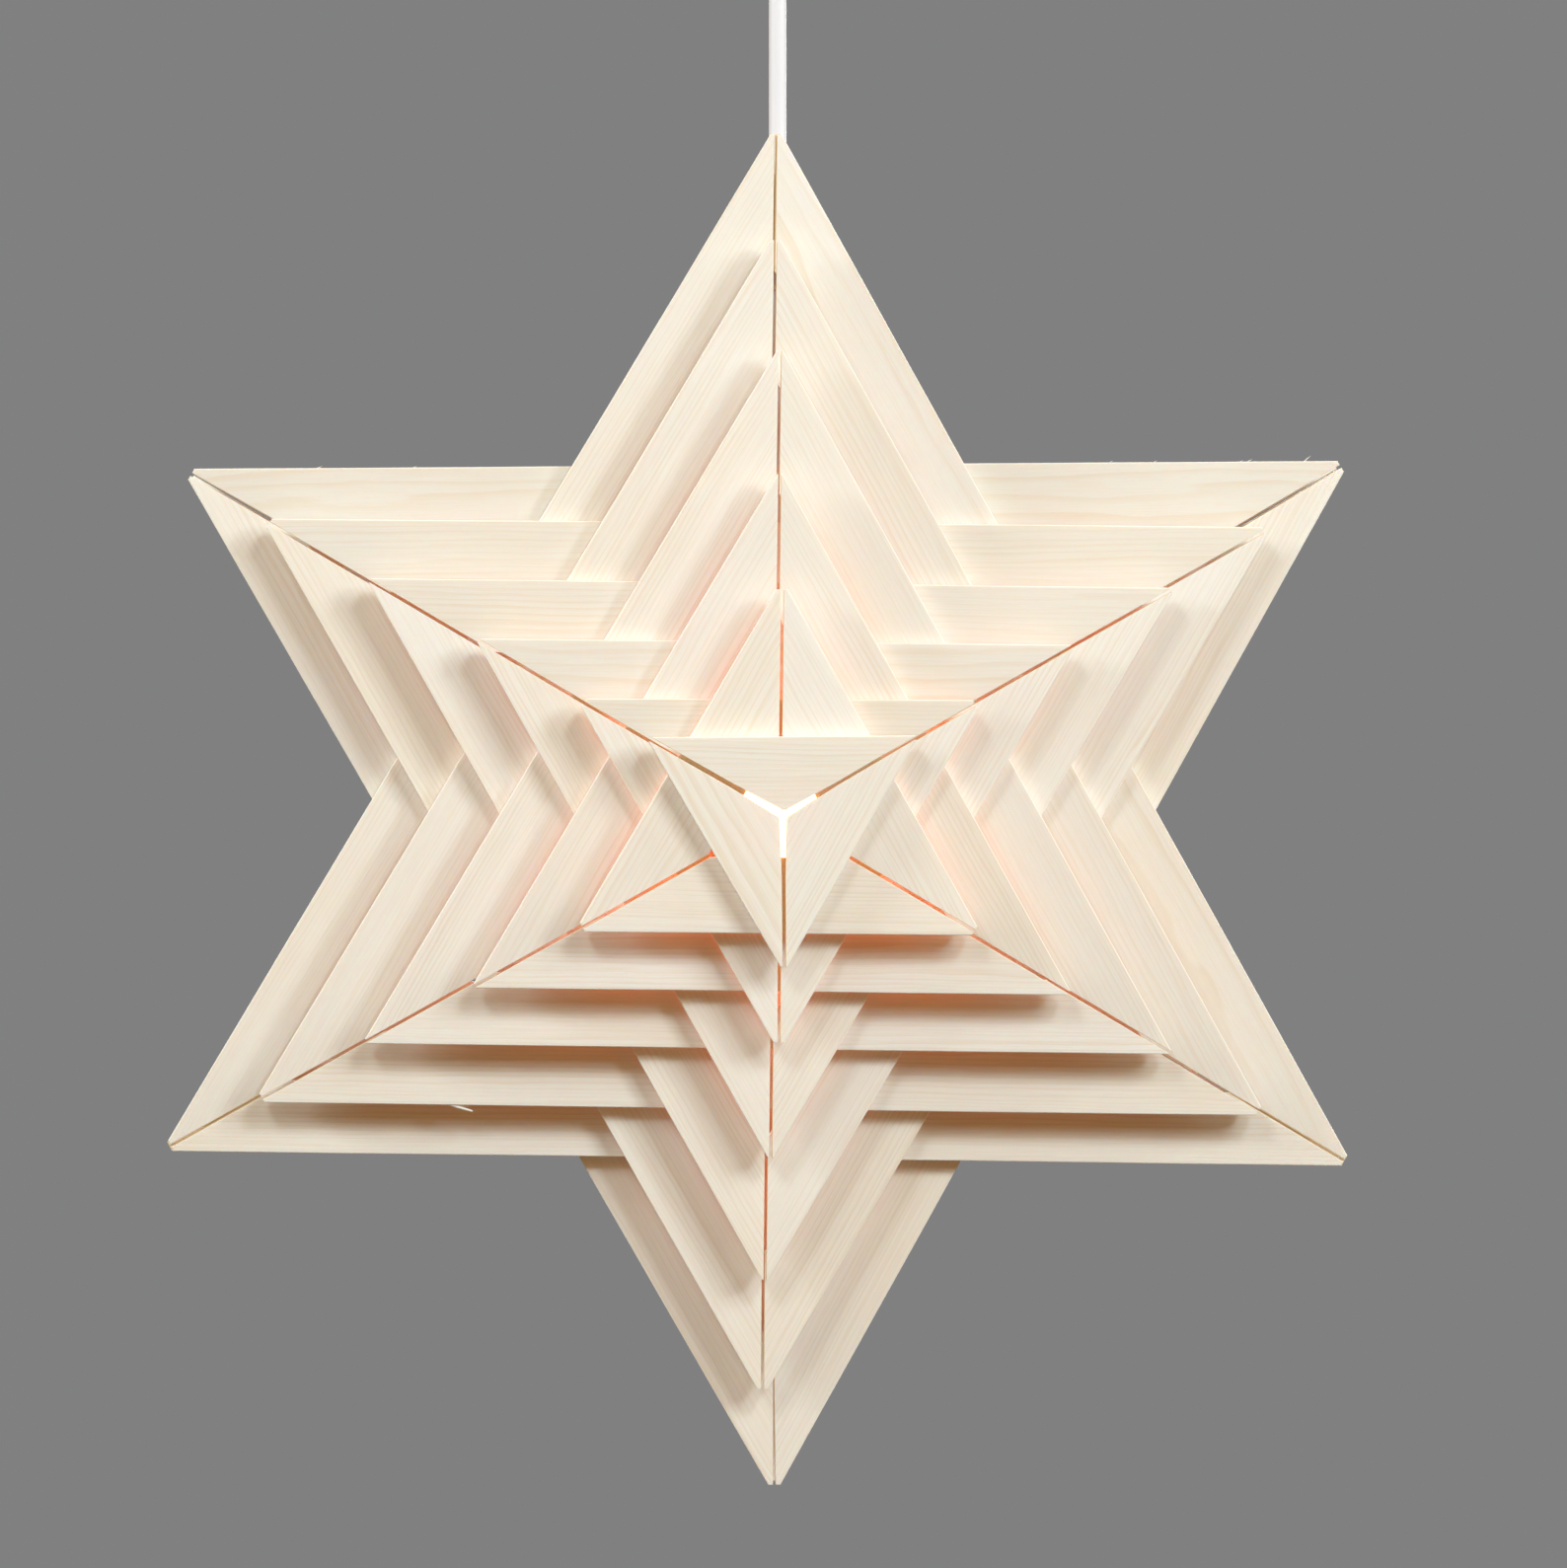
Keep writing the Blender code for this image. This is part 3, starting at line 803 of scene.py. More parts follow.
def lathe(name: str, profile: Sequence[Point2], steps: int = 96, swell: Swell | None = None,
          ring: bool = False) -> bpy.types.Mesh:
    """Spins a line of (radius, height) round Z.

    Args:
        name: the mesh's name.
        profile: the line, from axis to axis or, for a ring, once round its section.
        steps: pieces round.
        swell: what is added to the radius at (angle, radius, height).
        ring: joins the line's end to its start.

    Returns:
        The mesh, smooth but for its sharp edges.
    """
    points: list[Point3] = []
    rows: list[list[int]] = []
    for radius, height in profile:
        if radius < ON_AXIS:
            rows.append([len(points)] * steps)
            points.append((0.0, 0.0, height))
            continue
        rows.append(list(range(len(points), len(points) + steps)))
        for step in range(steps):
            angle = math.tau * step / steps
            out = radius + (swell(angle, radius, height) if swell else 0.0)
            points.append((out * math.cos(angle), out * math.sin(angle), height))
    pairs = list(zip(rows, rows[1:]))
    if ring:
        pairs.append((rows[-1], rows[0]))
    faces = []
    for low, high in pairs:
        for step in range(steps):
            after = (step + 1) % steps
            face = list(dict.fromkeys((low[step], low[after], high[after], high[step])))
            if len(face) > 2:
                faces.append(face)
    return smoothed(mesh_of(name, points, faces))


def faded(height: float, low: float, high: float, run_out: float) -> float:
    """One between two heights, falling to nought at both.

    Args:
        height: where.
        low: the lower height.
        high: the upper height.
        run_out: the length over which it falls.

    Returns:
        From 0 to 1.
    """
    return min(1.0, max(0.0, min(height - low, high - height) / run_out))


@dataclass(frozen=True)
class Thread:
    """A rounded screw thread."""

    pitch: float
    depth: float

    def swell(self, low: float, high: float, beyond: float = 0.0) -> Swell:
        """The thread between two heights.

        Args:
            low: where it starts.
            high: where it ends.
            beyond: only what has a larger radius is threaded.

        Returns:
            What is added to the radius.
        """

        def inwards(angle: float, radius: float, height: float) -> float:
            """How far in the surface is here."""
            if radius <= beyond:
                return 0.0
            wave = 0.5 - 0.5 * math.cos(math.tau * (height / self.pitch) - angle)
            return -self.depth * faded(height, low, high, self.pitch * 0.5) * wave

        return inwards


@dataclass(frozen=True)
class Ribs:
    """Upright ribs for the fingers."""

    count: int
    depth: float
    run_out: float

    def swell(self, low: float, high: float, beyond: float) -> Swell:
        """The ribs between two heights.

        Args:
            low: where they start.
            high: where they end.
            beyond: only what has a larger radius is ribbed, so that a bore stays round.

        Returns:
            What is added to the radius.
        """

        def inwards(angle: float, radius: float, height: float) -> float:
            """How far in the surface is here."""
            if radius <= beyond:
                return 0.0
            wave = 0.5 - 0.5 * math.cos(angle * self.count)
            return -self.depth * faded(height, low, high, self.run_out) * wave**2

        return inwards


@dataclass(frozen=True)
class SlottedScrew:
    """A small cheese head with a saw slot, standing on Z."""

    radius: float = 1.7 * MM
    height: float = 1.3 * MM
    slot: float = 0.45 * MM
    chamfer: float = 0.18
    crown: float = 0.86
    sides: int = 32

    def mesh(self, name: str) -> bpy.types.Mesh:
        """The head.

        Args:
            name: the mesh's name.

        Returns:
            The mesh.
        """
        bm = bmesh.new()
        half = self.slot / 2
        edge = math.asin(half / self.radius)
        sweep = math.pi - 2 * edge
        turns = [start + sweep * step / self.sides
                 for start in (edge, math.pi + edge) for step in range(self.sides + 1)]
        rim = [(self.radius * math.cos(turn), self.radius * math.sin(turn)) for turn in turns]
        base = [bm.verts.new((x, y, 0.0)) for x, y in rim]
        bm.faces.new(list(reversed(base)))
        middle = [bm.verts.new((x, y, self.height - self.slot)) for x, y in rim]
        self.wall(bm, [*base, base[0]], [*middle, middle[0]])
        count = self.sides + 1
        bm.faces.new((middle[self.sides], middle[count], middle[-1], middle[0]))
        for low in (middle[:count], middle[count:]):
            places = [vert.co.copy() for vert in low]
            shoulder = [bm.verts.new((p.x, p.y, self.height - self.radius * self.chamfer)) for p in places]
            inset = [(p.x * self.crown, p.y * self.crown + math.copysign(half * (1 - self.crown), p.y))
                     for p in places]
            top = [bm.verts.new((x, y, self.height)) for x, y in inset]
            for lower, upper in ((low, shoulder), (shoulder, top)):
                self.wall(bm, lower, upper)
                bm.faces.new((lower[-1], lower[0], upper[0], upper[-1]))
            bm.faces.new(top)
        return smoothed(cast(name, bm))

    @staticmethod
    def wall(bm: bmesh.types.BMesh, lower: Sequence[bmesh.types.BMVert], upper: Sequence[bmesh.types.BMVert]) -> None:
        """Faces between two rows of points.

        Args:
            bm: the bmesh.
            lower: the lower row.
            upper: the upper row.
        """
        for one, two, over_two, over_one in zip(lower, lower[1:], upper[1:], upper):
            bm.faces.new((one, two, over_two, over_one))


@dataclass
class Grain:
    """Where a piece was in its log, so that its rings run through it, and how far it is darkened and yellowed, partly
    by age and partly as painted shade.

    The heart's distance and the place along the log are in millimetres, and the lean is in degrees.
    """

    cut: Cut
    heart: float
    along: float
    slope: float
    lean: float
    age: float
    hearts: ClassVar[Point2] = (38, 95)
    places: ClassVar[Point2] = (-4000, 4000)
    slopes: ClassVar[Point2] = (-0.012, 0.012)
    leans: ClassVar[Point2] = (-9, 9)
    yellowing: ClassVar[Point2] = (-0.12, 0.12)
    odds: ClassVar[dict[Cut, float]] = {Cut.QUARTER: 0.72, Cut.RIFT: 0.95, Cut.FLAT: 1.0}

    @classmethod
    def drawn(cls, dice: random.Random, cut: Cut | None = None, age: float = 0.4) -> "Grain":
        """A grain by chance.

        Args:
            dice: the source of chance.
            cut: the way of sawing, or None to leave that to chance too.
            age: about how far the wood is darkened and yellowed, by age and as painted shade, from 0 to 1.

        Returns:
            The grain.
        """
        chance = dice.random()
        heart, along, slope, lean = (dice.uniform(*span) for span in (cls.hearts, cls.places, cls.slopes, cls.leans))
        if cut is None:
            cut = next(kind for kind, below in cls.odds.items() if chance < below)
        return cls(cut, heart, along, slope, lean, min(1.0, max(0.0, age + dice.uniform(*cls.yellowing))))

    def mark(self, mesh: bpy.types.Mesh) -> None:
        """Writes the grain and the age and shade on each point of a mesh.

        Args:
            mesh: a mesh whose X runs along the wood, Y through it and Z across it.
        """
        angle = math.radians(self.cut.value + self.lean)
        heart_y, heart_z = self.heart * math.sin(angle), self.heart * math.cos(angle)
        places: list[float] = []
        for vert in mesh.vertices:
            x, y, z = (c / MM for c in vert.co)
            places += (x + self.along, y + heart_y, z + heart_z + x * self.slope)
        mesh.attributes.new(PineFinish.grain, "FLOAT_VECTOR", "POINT").data.foreach_set("vector", places)
        years = mesh.attributes.new(PineFinish.age, "FLOAT", "POINT")
        years.data.foreach_set("value", [self.age] * len(mesh.vertices))


@dataclass(frozen=True)
class StripSize:
    """What the three strips of a triangle share.

    Attributes:
        inradius: from the triangle's middle to the strips' outer edges.
        blunt: how far the points are cut back.
        flare: how much wider the slit is at the inner edge.
        undercut: how much longer the back face is at each end, so that nothing shows through the slit.
        inward: how much wider the strip is at its inner edge.
        painted_glow: the share of the painted glow on the inner face, which stands for the bulb's light that reaches
            it.
        age: how far the strips are darkened and yellowed, partly by age and partly as painted shade, or None for that
            of the triangle's side.
    """

    inradius: float
    blunt: float = 0.0
    flare: float = 0.0
    undercut: float = 0.0
    inward: float = 0.0
    painted_glow: float = 1.0
    age: float | None = None


@dataclass(frozen=True)
class Layer:
    """One triangle: its clockwise turn in degrees, and millimetres right and up."""

    pointing: Pointing
    size: StripSize
    turn: float
    right: float
    up: float


@dataclass(frozen=True)
class Nudge:
    """How a strip was laid a little off its triangle: clockwise degrees, and millimetres right and up.

    The trims are what it was cut short by, in millimetres, at its -X and its +X end.
    """

    turn: float = 0.0
    right: float = 0.0
    up: float = 0.0
    trims: Point2 = (0.0, 0.0)


@dataclass
class StripMaker:
    """Cuts mitred strips with eased arrises. X runs along a strip, Z across it and Y through it."""

    width: float = 24 * MM
    thickness: float = 5 * MM
    slit: float = 1.1 * MM
    nose: float = 1 * MM
    arris: float = 0.3 * MM
    end_arris: float = 0.14 * MM
    arris_steps: int = 3
    flare_run: float = 9 * MM
    rows: int = 4
    column: float = 9 * MM
    fewest_columns: int = 8
    sway: float = 0.09 * MM
    sway_waves: Sequence[Point2] = ((61 * MM, 0.5), (23 * MM, 0.3), (7.5 * MM, 0.175))

    def half_lengths(self, size: StripSize) -> list[Point2]:
        """Half the strip's length at each height where its end turns, inner edge first.

        Args:
            size: the strip's sizes.

        Returns:
            Height from the star's centre and half length.
        """
        slope = 1 / math.tan(MITRE)
        inradius, blunt = size.inradius, size.blunt
        inner = max(inradius - self.width - size.inward, (self.slit + self.nose) / slope)
        turn = inradius - (blunt - self.slit * math.cos(MITRE)) / 2
        line = [(inner, inner * slope - self.slit - size.flare)]
        if size.flare:
            bend = inner + self.flare_run
            line.append((bend, bend * slope - self.slit))
        if turn < inradius:
            line.append((turn, turn * slope - self.slit))
            line.append((inradius, inradius * slope - blunt / math.cos(MITRE)))
        else:
            line.append((inradius, inradius * slope - self.slit))
        return line

    def mesh(self, name: str, size: StripSize, trims: Point2, dice: random.Random) -> bpy.types.Mesh:
        """One strip round its own middle.

        Args:
            name: the mesh's name.
            size: the strip's sizes.
            trims: what is cut off its two ends, in millimetres.
            dice: the source of its small unevenness.

        Returns:
            The mesh, marked at its ends and arrises.
        """
        line = self.half_lengths(size)
        low, high = line[0][0], line[-1][0]
        core_low, core_high = low + self.arris, high - self.arris
        middle = size.inradius - self.width / 2
        waves = len(self.sway_waves)
        phases = [dice.uniform(0, math.tau) for _ in range(2 * waves)]

        def half_length(height: float) -> float:
            """Half the strip's length at a height."""
            for (z0, x0), (z1, x1) in zip(line, line[1:]):
                if height <= z1:
                    return x0 + (x1 - x0) * (height - z0) / (z1 - z0)
            return line[-1][1]

        end = self.end_arris / math.cos(MITRE)
        levels = self.levels(line)
        points: list[Point3] = []
        marks: list[float] = []
        loops: list[range] = []
        for share, push in self.columns(half_length(high)):
            reach = self.arris - self.end_arris * (1 - math.cos(push))
            start = len(points)
            for level, depth, nudge in self.section(levels, core_low, core_high, reach):
                core = half_length(min(max(level, core_low), core_high)) - end
                core += size.undercut * (0.5 + depth / self.thickness)
                x = share * core + math.copysign(end * math.sin(push), share)
                x += (trims[0] * (1 - share) - trims[1] * (1 + share)) / 2 * MM
                sway = self.edge_sway(x, phases[:waves] if level > middle else phases[waves:])
                points.append((x, depth, level - middle + sway * nudge))
                rounded = core_low > level > low or high > level > core_high
                # The third mark is the rounded arris, which gets a painted highlight.
                marks += (0.0, float(math.isclose(push, QUARTER_TURN)), float(rounded))
            loops.append(range(start, len(points)))
        mesh = mesh_of(name, points, self.skin(loops))
        mesh.attributes.new(PineFinish.marks, "FLOAT_VECTOR", "POINT").data.foreach_set("vector", marks)
        return mesh

    def edge_sway(self, x: float, phases: Sequence[float]) -> float:
        """How far hand planing left an edge from straight, at a place along it."""
        waves = zip(self.sway_waves, phases)
        return self.sway * sum(part * math.sin(x / length + phase) for (length, part), phase in waves)

    def levels(self, line: Sequence[Point2]) -> list[float]:
        """Heights of the rows across a strip's face, between its arrises."""
        low, high = line[0][0] + self.arris, line[-1][0] - self.arris
        evenly = [low + (high - low) * step / self.rows for step in range(1, self.rows)]
        return sorted(evenly + [turn for turn, _ in line[1:-1] if low < turn < high])

    def columns(self, half: float) -> list[Point2]:
        """Places along a strip, from -1 to 1, and how far round the end each one is, as an angle."""
        count = max(self.fewest_columns, round(2 * half / self.column))
        inside = [(-1 + 2 * step / count, 0.0) for step in range(count + 1)]
        ends = [QUARTER_TURN * step / self.arris_steps for step in range(1, self.arris_steps + 1)]
        return [*((-1.0, push) for push in reversed(ends)), *inside, *((1.0, push) for push in ends)]

    def section(self, levels: Sequence[float], low: float, high: float, reach: float) -> list[Point3]:
        """A rounded section: up the front, then down the back.

        Args:
            levels: rows across the face.
            low: inner edge of the core.
            high: outer edge of the core.
            reach: how far the section stands out from its core.

        Returns:
            Height, depth and how much of the edge's unevenness each point takes.
        """
        flat = self.thickness / 2 - self.arris
        turns = [QUARTER_TURN * step / self.arris_steps for step in range(self.arris_steps + 1)]
        front = [(low - reach * math.cos(a), -flat - reach * math.sin(a), 1.0) for a in turns]
        front += [(level, -flat - reach, 0.0) for level in levels]
        front += [(high + reach * math.sin(a), -flat - reach * math.cos(a), 1.0) for a in turns]
        return front + [(level, -depth, nudge) for level, depth, nudge in reversed(front)]

    @staticmethod
    def skin(loops: Sequence[range]) -> list[Sequence[int]]:
        """Faces from section to section, and over the first and the last one.

        Args:
            loops: point numbers round each section.

        Returns:
            The faces.
        """
        faces: list[Sequence[int]] = []
        count = len(loops[0])
        for one, two in zip(loops, loops[1:]):
            for index in range(count):
                after = (index + 1) % count
                faces.append((one[index], one[after], two[after], two[index]))
        for loop in (loops[0], loops[-1]):
            for index in range(count // 2 - 1):
                faces.append((loop[index], loop[index + 1], loop[-index - 2], loop[-index - 1]))
        return faces


@dataclass(frozen=True)
class EdgeFibre:
    """A sliver that the saw raised from a strip's outer edge."""

    strip: str
    along: float
    length: float
    lift: float
    thick: float
    taper: float = 0.6
    depth: float = -1.6 * MM
    curl: float = 0.85
    slant: float = 0.3
    tip: float = 0.02
    steps: int = 8
    sides: int = 6

    def mesh(self, name: str, edge: float) -> bpy.types.Mesh:
        """The sliver in its strip's own axes.

        Args:
            name: the mesh's name.
            edge: from the strip's middle to its outer edge.

        Returns:
            The mesh.
        """
        points: list[Point3] = []
        for step in range(self.steps + 1):
            share = step / self.steps
            height = edge - self.thick + (self.lift + self.thick) * share**self.curl
            radius = self.thick / 2 * (1 + self.tip - share) ** self.taper
            for side in range(self.sides):
                angle = math.tau * side / self.sides
                rise = radius * math.sin(angle)
                points.append((self.along + self.length * share + rise * self.slant,
                               self.depth + radius * math.cos(angle), height + rise))
        faces: list[Sequence[int]] = [range(self.sides), range(self.steps * self.sides, len(points))]
        for low in range(0, self.steps * self.sides, self.sides):
            high = low + self.sides
            for side in range(self.sides):
                after = (side + 1) % self.sides
                faces.append((low + side, low + after, high + after, high + side))
        mesh = mesh_of(name, points, faces)
        mesh.shade_smooth()
        return mesh


@dataclass
class StripStack:
    """One half of the star: triangles of three strips laid on each other, each half a turn from the last."""

    half: Half
    layers: Sequence[Layer]
    nudges: dict[str, Nudge]
    maker: StripMaker = field(default_factory=StripMaker)
    cuts: dict[str, Cut] = field(default_factory=dict)
    fibres: Sequence[EdgeFibre] = ()
    # How fast the painted glow of the inner faces and of the slit walls falls off from the star's centre.
    glow_reach: float = 60 * MM
    wall_reach: float = 160 * MM
    half_gap: float = 8 * MM
    pitch: float = 5.3 * MM

    def build(self, bench: Bench, dice: random.Random) -> None:
        """Cuts every strip and lays it in place.

        Args:
            bench: where the pieces go.
            dice: the source of chance.
        """
        for number, layer in enumerate(self.layers, 1):
            for side in layer.pointing.value:
                self.lay_strip(bench, dice, number, layer, side)

    def lay_strip(self, bench: Bench, dice: random.Random, number: int, layer: Layer, side: str) -> None:
        """One strip, with its slivers.

        Args:
            bench: where the pieces go.
            dice: the source of chance.
            number: the layer's number from the middle of the star, from 1.
            layer: its triangle.
            side: which of the triangle's sides.
        """
        stack = self.half.name.lower()
        key = f"{number:02d}_{side}"
        name = f"{stack}_strip_{key}"
        nudge = self.nudges.get(key, Nudge())
        faces, age = layer.pointing.value[side]
        size = layer.size
        mesh = self.maker.mesh(name, size, nudge.trims, dice)
        Grain.drawn(dice, self.cuts.get(key), age if size.age is None else size.age).mark(mesh)
        matrix = self.place(number, layer, nudge, math.radians(faces - layer.turn))
        self.paint_glow_within(mesh, matrix, size.painted_glow)
        bench.add(name, mesh, Body.STAR, Slot.PINE, [f"{stack}_layer_{key}"], matrix)
        for count, fibre in enumerate([fibre for fibre in self.fibres if fibre.strip == key], 1):
            sliver = fibre.mesh(f"{stack}_fibre_{key}_{count}", self.maker.width / 2)
            Grain.drawn(random.Random(count)).mark(sliver)
            bench.add(sliver.name, sliver, Body.STAR, Slot.PINE, matrix=matrix)

    def place(self, number: int, layer: Layer, nudge: Nudge, angle: float) -> Matrix:
        """Where a strip lies.

        Args:
            number: the layer's number from the middle of the star, from 1.
            layer: its triangle.
            nudge: how it lies off that.
            angle: which way it faces in its triangle.

        Returns:
            Its matrix.
        """
        reach = layer.size.inradius - self.maker.width / 2
        depth = self.half_gap / 2 + (number - 1) * self.pitch + self.maker.thickness / 2
        right, up = (layer.right + nudge.right) * MM, (layer.up + nudge.up) * MM
        middle = (right + reach * math.cos(angle), self.half.value * depth, STAR_Z + up + reach * math.sin(angle))
        turn = QUARTER_TURN - angle + math.radians(nudge.turn)
        return Matrix.Translation(middle) @ Matrix.Rotation(turn, 4, "Y")

    def paint_glow_within(self, mesh: bpy.types.Mesh, matrix: Matrix, share: float) -> None:
        """Marks how much painted glow the strip's inner face and slit walls give, for the bulb's light that comes
        through them and out of the slits.

        Args:
            mesh: the strip, already marked.
            matrix: its place.
            share: how much of that painted glow this triangle gets.
        """
        for vert, mark in zip(mesh.vertices, mesh.attributes[PineFinish.marks].data):
            place = matrix @ vert.co
            out = math.hypot(place.x, place.z - STAR_Z)
            inner = max(0.0, -self.half.value * vert.co.y / (self.maker.thickness / 2))
            if mark.vector.y > 0.5:
                mark.vector.x = math.exp(-out / self.wall_reach)
            else:
                mark.vector.x = share * inner * math.exp(-out / self.glow_reach)


@dataclass
class JoiningBlocks:
    """Three blocks in the star's points that join its halves, and the collar that the cord hangs it by.

    Heights are from the star's centre. The two lower blocks lie under the second triangle, which leans a little.
    """

    near: float = 187.327 * MM
    far: float = 213.327 * MM
    near_half: float = 20.712 * MM
    far_half: float = 5.700 * MM
    thickness: float = 18 * MM
    edge: float = 0.6 * MM
    edge_steps: int = 3
    lean: float = 0.9
    shift: Point2 = (-4.8 * MM, 0.1 * MM)
    cord_hole: float = 3.3 * MM
    lock_radius: float = 6.5 * MM
    lock_length: float = 12 * MM
    lock_gap: float = 0.3 * MM
    lock_bevel: float = 1 * MM
    lock_edge: float = 0.5 * MM
    grip: Ribs = Ribs(28, 0.35 * MM, 0.8 * MM)
    screw: SlottedScrew = SlottedScrew()
    screw_depth: float = 0.75 * MM

    def build(self, bench: Bench, dice: random.Random) -> None:
        """Makes the blocks and the collar.

        Args:
            bench: where the pieces go.
            dice: the source of chance.
        """
        lower = (self.lean, *self.shift)
        blocks = {"top": (0.0, 0.0, 0.0, 0.0), "right": (120.0, *lower), "left": (240.0, *lower)}
        for side, (turn, lean, right, up) in blocks.items():
            mesh = self.block_mesh(f"{side}_joining_block", side == "top")
            Grain.drawn(dice, Cut.RIFT).mark(mesh)
            middle = Matrix.Translation((right, 0, STAR_Z + up))
            matrix = middle @ Matrix.Rotation(math.radians(turn + lean), 4, "Y")
            bench.add(mesh.name, mesh, Body.STAR, Slot.PINE, [f"{side}_block"], matrix)
        self.build_lock(bench)

    def block_mesh(self, name: str, bored: bool) -> bpy.types.Mesh:
        """A block narrowing towards its point.

        Args:
            name: the mesh's name.
            bored: whether the cord runs through it.

        Returns:
            The mesh.
        """
        bm = bmesh.new()
        outline = [(self.near_half, self.near), (self.far_half, self.far),
                   (-self.far_half, self.far), (-self.near_half, self.near)]
        face = bm.faces.new([bm.verts.new((x, -self.thickness / 2, z)) for x, z in outline])
        made = bmesh.ops.extrude_face_region(bm, geom=[face])["geom"]
        moved = [item for item in made if isinstance(item, bmesh.types.BMVert)]
        bmesh.ops.translate(bm, verts=moved, vec=(0, self.thickness, 0))
        bmesh.ops.recalc_face_normals(bm, faces=bm.faces)
        bmesh.ops.bevel(bm, geom=list(bm.edges), offset=self.edge, segments=self.edge_steps, affect="EDGES",
                        profile=0.5)
        mesh = mesh_of(name, [vert.co[:] for vert in bm.verts], self.in_order(bm))
        bm.free()
        return self.bored(mesh) if bored else mesh

    @staticmethod
    def in_order(bm: bmesh.types.BMesh) -> list[list[int]]:
        """Point numbers of each face, in an order that is the same in every run.

        Args:
            bm: the block.

        Returns:
            The faces, each from its lowest number on.
        """
        bm.verts.index_update()
        faces = [[vert.index for vert in face.verts] for face in bm.faces]
        lowest = [face.index(min(face)) for face in faces]
        return sorted(face[first:] + face[:first] for face, first in zip(faces, lowest))

    def bored(self, mesh: bpy.types.Mesh) -> bpy.types.Mesh:
        """The block with a hole for the cord, up its middle.

        Args:
            mesh: the whole block, which is used up.

        Returns:
            A new mesh of the same name.
        """
        low, high = self.near - self.lock_length, self.far + self.lock_length
        line = [(0.0, low), (self.cord_hole, low), (self.cord_hole, high), (0.0, high)]
        drill = bpy.data.objects.new("cord_drill", lathe("cord_drill", line, 48))
        block = bpy.data.objects.new("block_blank", mesh)
        for helper in (drill, block):
            bpy.context.scene.collection.objects.link(helper)
        cut = block.modifiers.new("cord_hole", "BOOLEAN")
        cut.object = drill
        graph = bpy.context.evaluated_depsgraph_get()
        result = bpy.data.meshes.new_from_object(block.evaluated_get(graph))
        for helper in (drill, block):
            bpy.data.objects.remove(helper)
        name = mesh.name
        bpy.data.meshes.remove(mesh)
        result.name = name
        return result

    def build_lock(self, bench: Bench) -> None:
        """The collar under the top block, ribbed for the fingers, with its clamping screw.

        Args:
            bench: where the pieces go.
        """
        top = self.near - self.lock_gap
        low = top - self.lock_length
        hole, radius, edge, bevel = self.cord_hole, self.lock_radius, self.lock_edge, self.lock_bevel
        line = softened([(hole, top - edge), (hole + edge, top), (radius, top), (radius, low + bevel),
                         (radius - bevel, low), (hole, low)], edge)
        ribs = self.grip.swell(low + 2.2 * MM, top - 1.2 * MM, hole + 0.6 * MM)
        bench.add_in_star(lathe("cord_collar", finely(line, 0.8 * MM), 168, ribs, ring=True), Slot.PLASTIC, "cord_lock")
        middle = Matrix.Translation((0, radius - self.screw_depth, STAR_Z + low + self.lock_length / 2))
        matrix = middle @ Matrix.Rotation(-QUARTER_TURN, 4, "X")
        bench.add("collar_screw", self.screw.mesh("collar_screw"), Body.STAR, Slot.STEEL, [], matrix)


@dataclass
class HangingCord:
    """The cord from the lampholder up to the ceiling grip, straight under the star's weight."""

    radius: float = 3 * MM
    low: float = STAR_Z + 78.983 * MM
    high: float = -51.95 * MM
    step: float = 4 * MM
    sides: int = 40
    round_end: float = 0.4 * MM
    flute_depth: float = 0.10 * MM
    ripple_depth: float = 0.05 * MM

    def build(self, bench: Bench, nipple: bpy.types.Object) -> None:
        """Args:
            bench: where the piece goes.
            nipple: the piece of the ceiling fitting that its far end is in; not used.
        """
        line = [(0.0, self.low), (self.radius, self.low), (self.radius, self.high), (0.0, self.high)]
        profile = finely(softened(line, self.round_end), self.step)
        mesh = lathe("mains_cord", profile, self.sides, self.draw_marks)
        cord = bench.add("mains_cord", mesh, Body.STAR, Slot.CORD, ["cord"])

    def draw_marks(self, angle: float, radius: float, height: float) -> float:
        """Faint flutes of the two cores and the slow ripple that the drawing left.

        Args:
            angle: round the cord.
            radius: from its middle.
            height: along it.

        Returns:
            What is added to the radius.
        """
        if radius < self.radius * 0.95:
            return 0.0
        flute = 0.5 + 0.5 * math.cos(2 * angle + 0.9 * math.sin(height / (90 * MM)))
        ripple = 0.5 + 0.5 * math.sin(height / (13 * MM) + 2 * math.sin(height / (37 * MM)))
        return -self.flute_depth * flute - self.ripple_depth * ripple


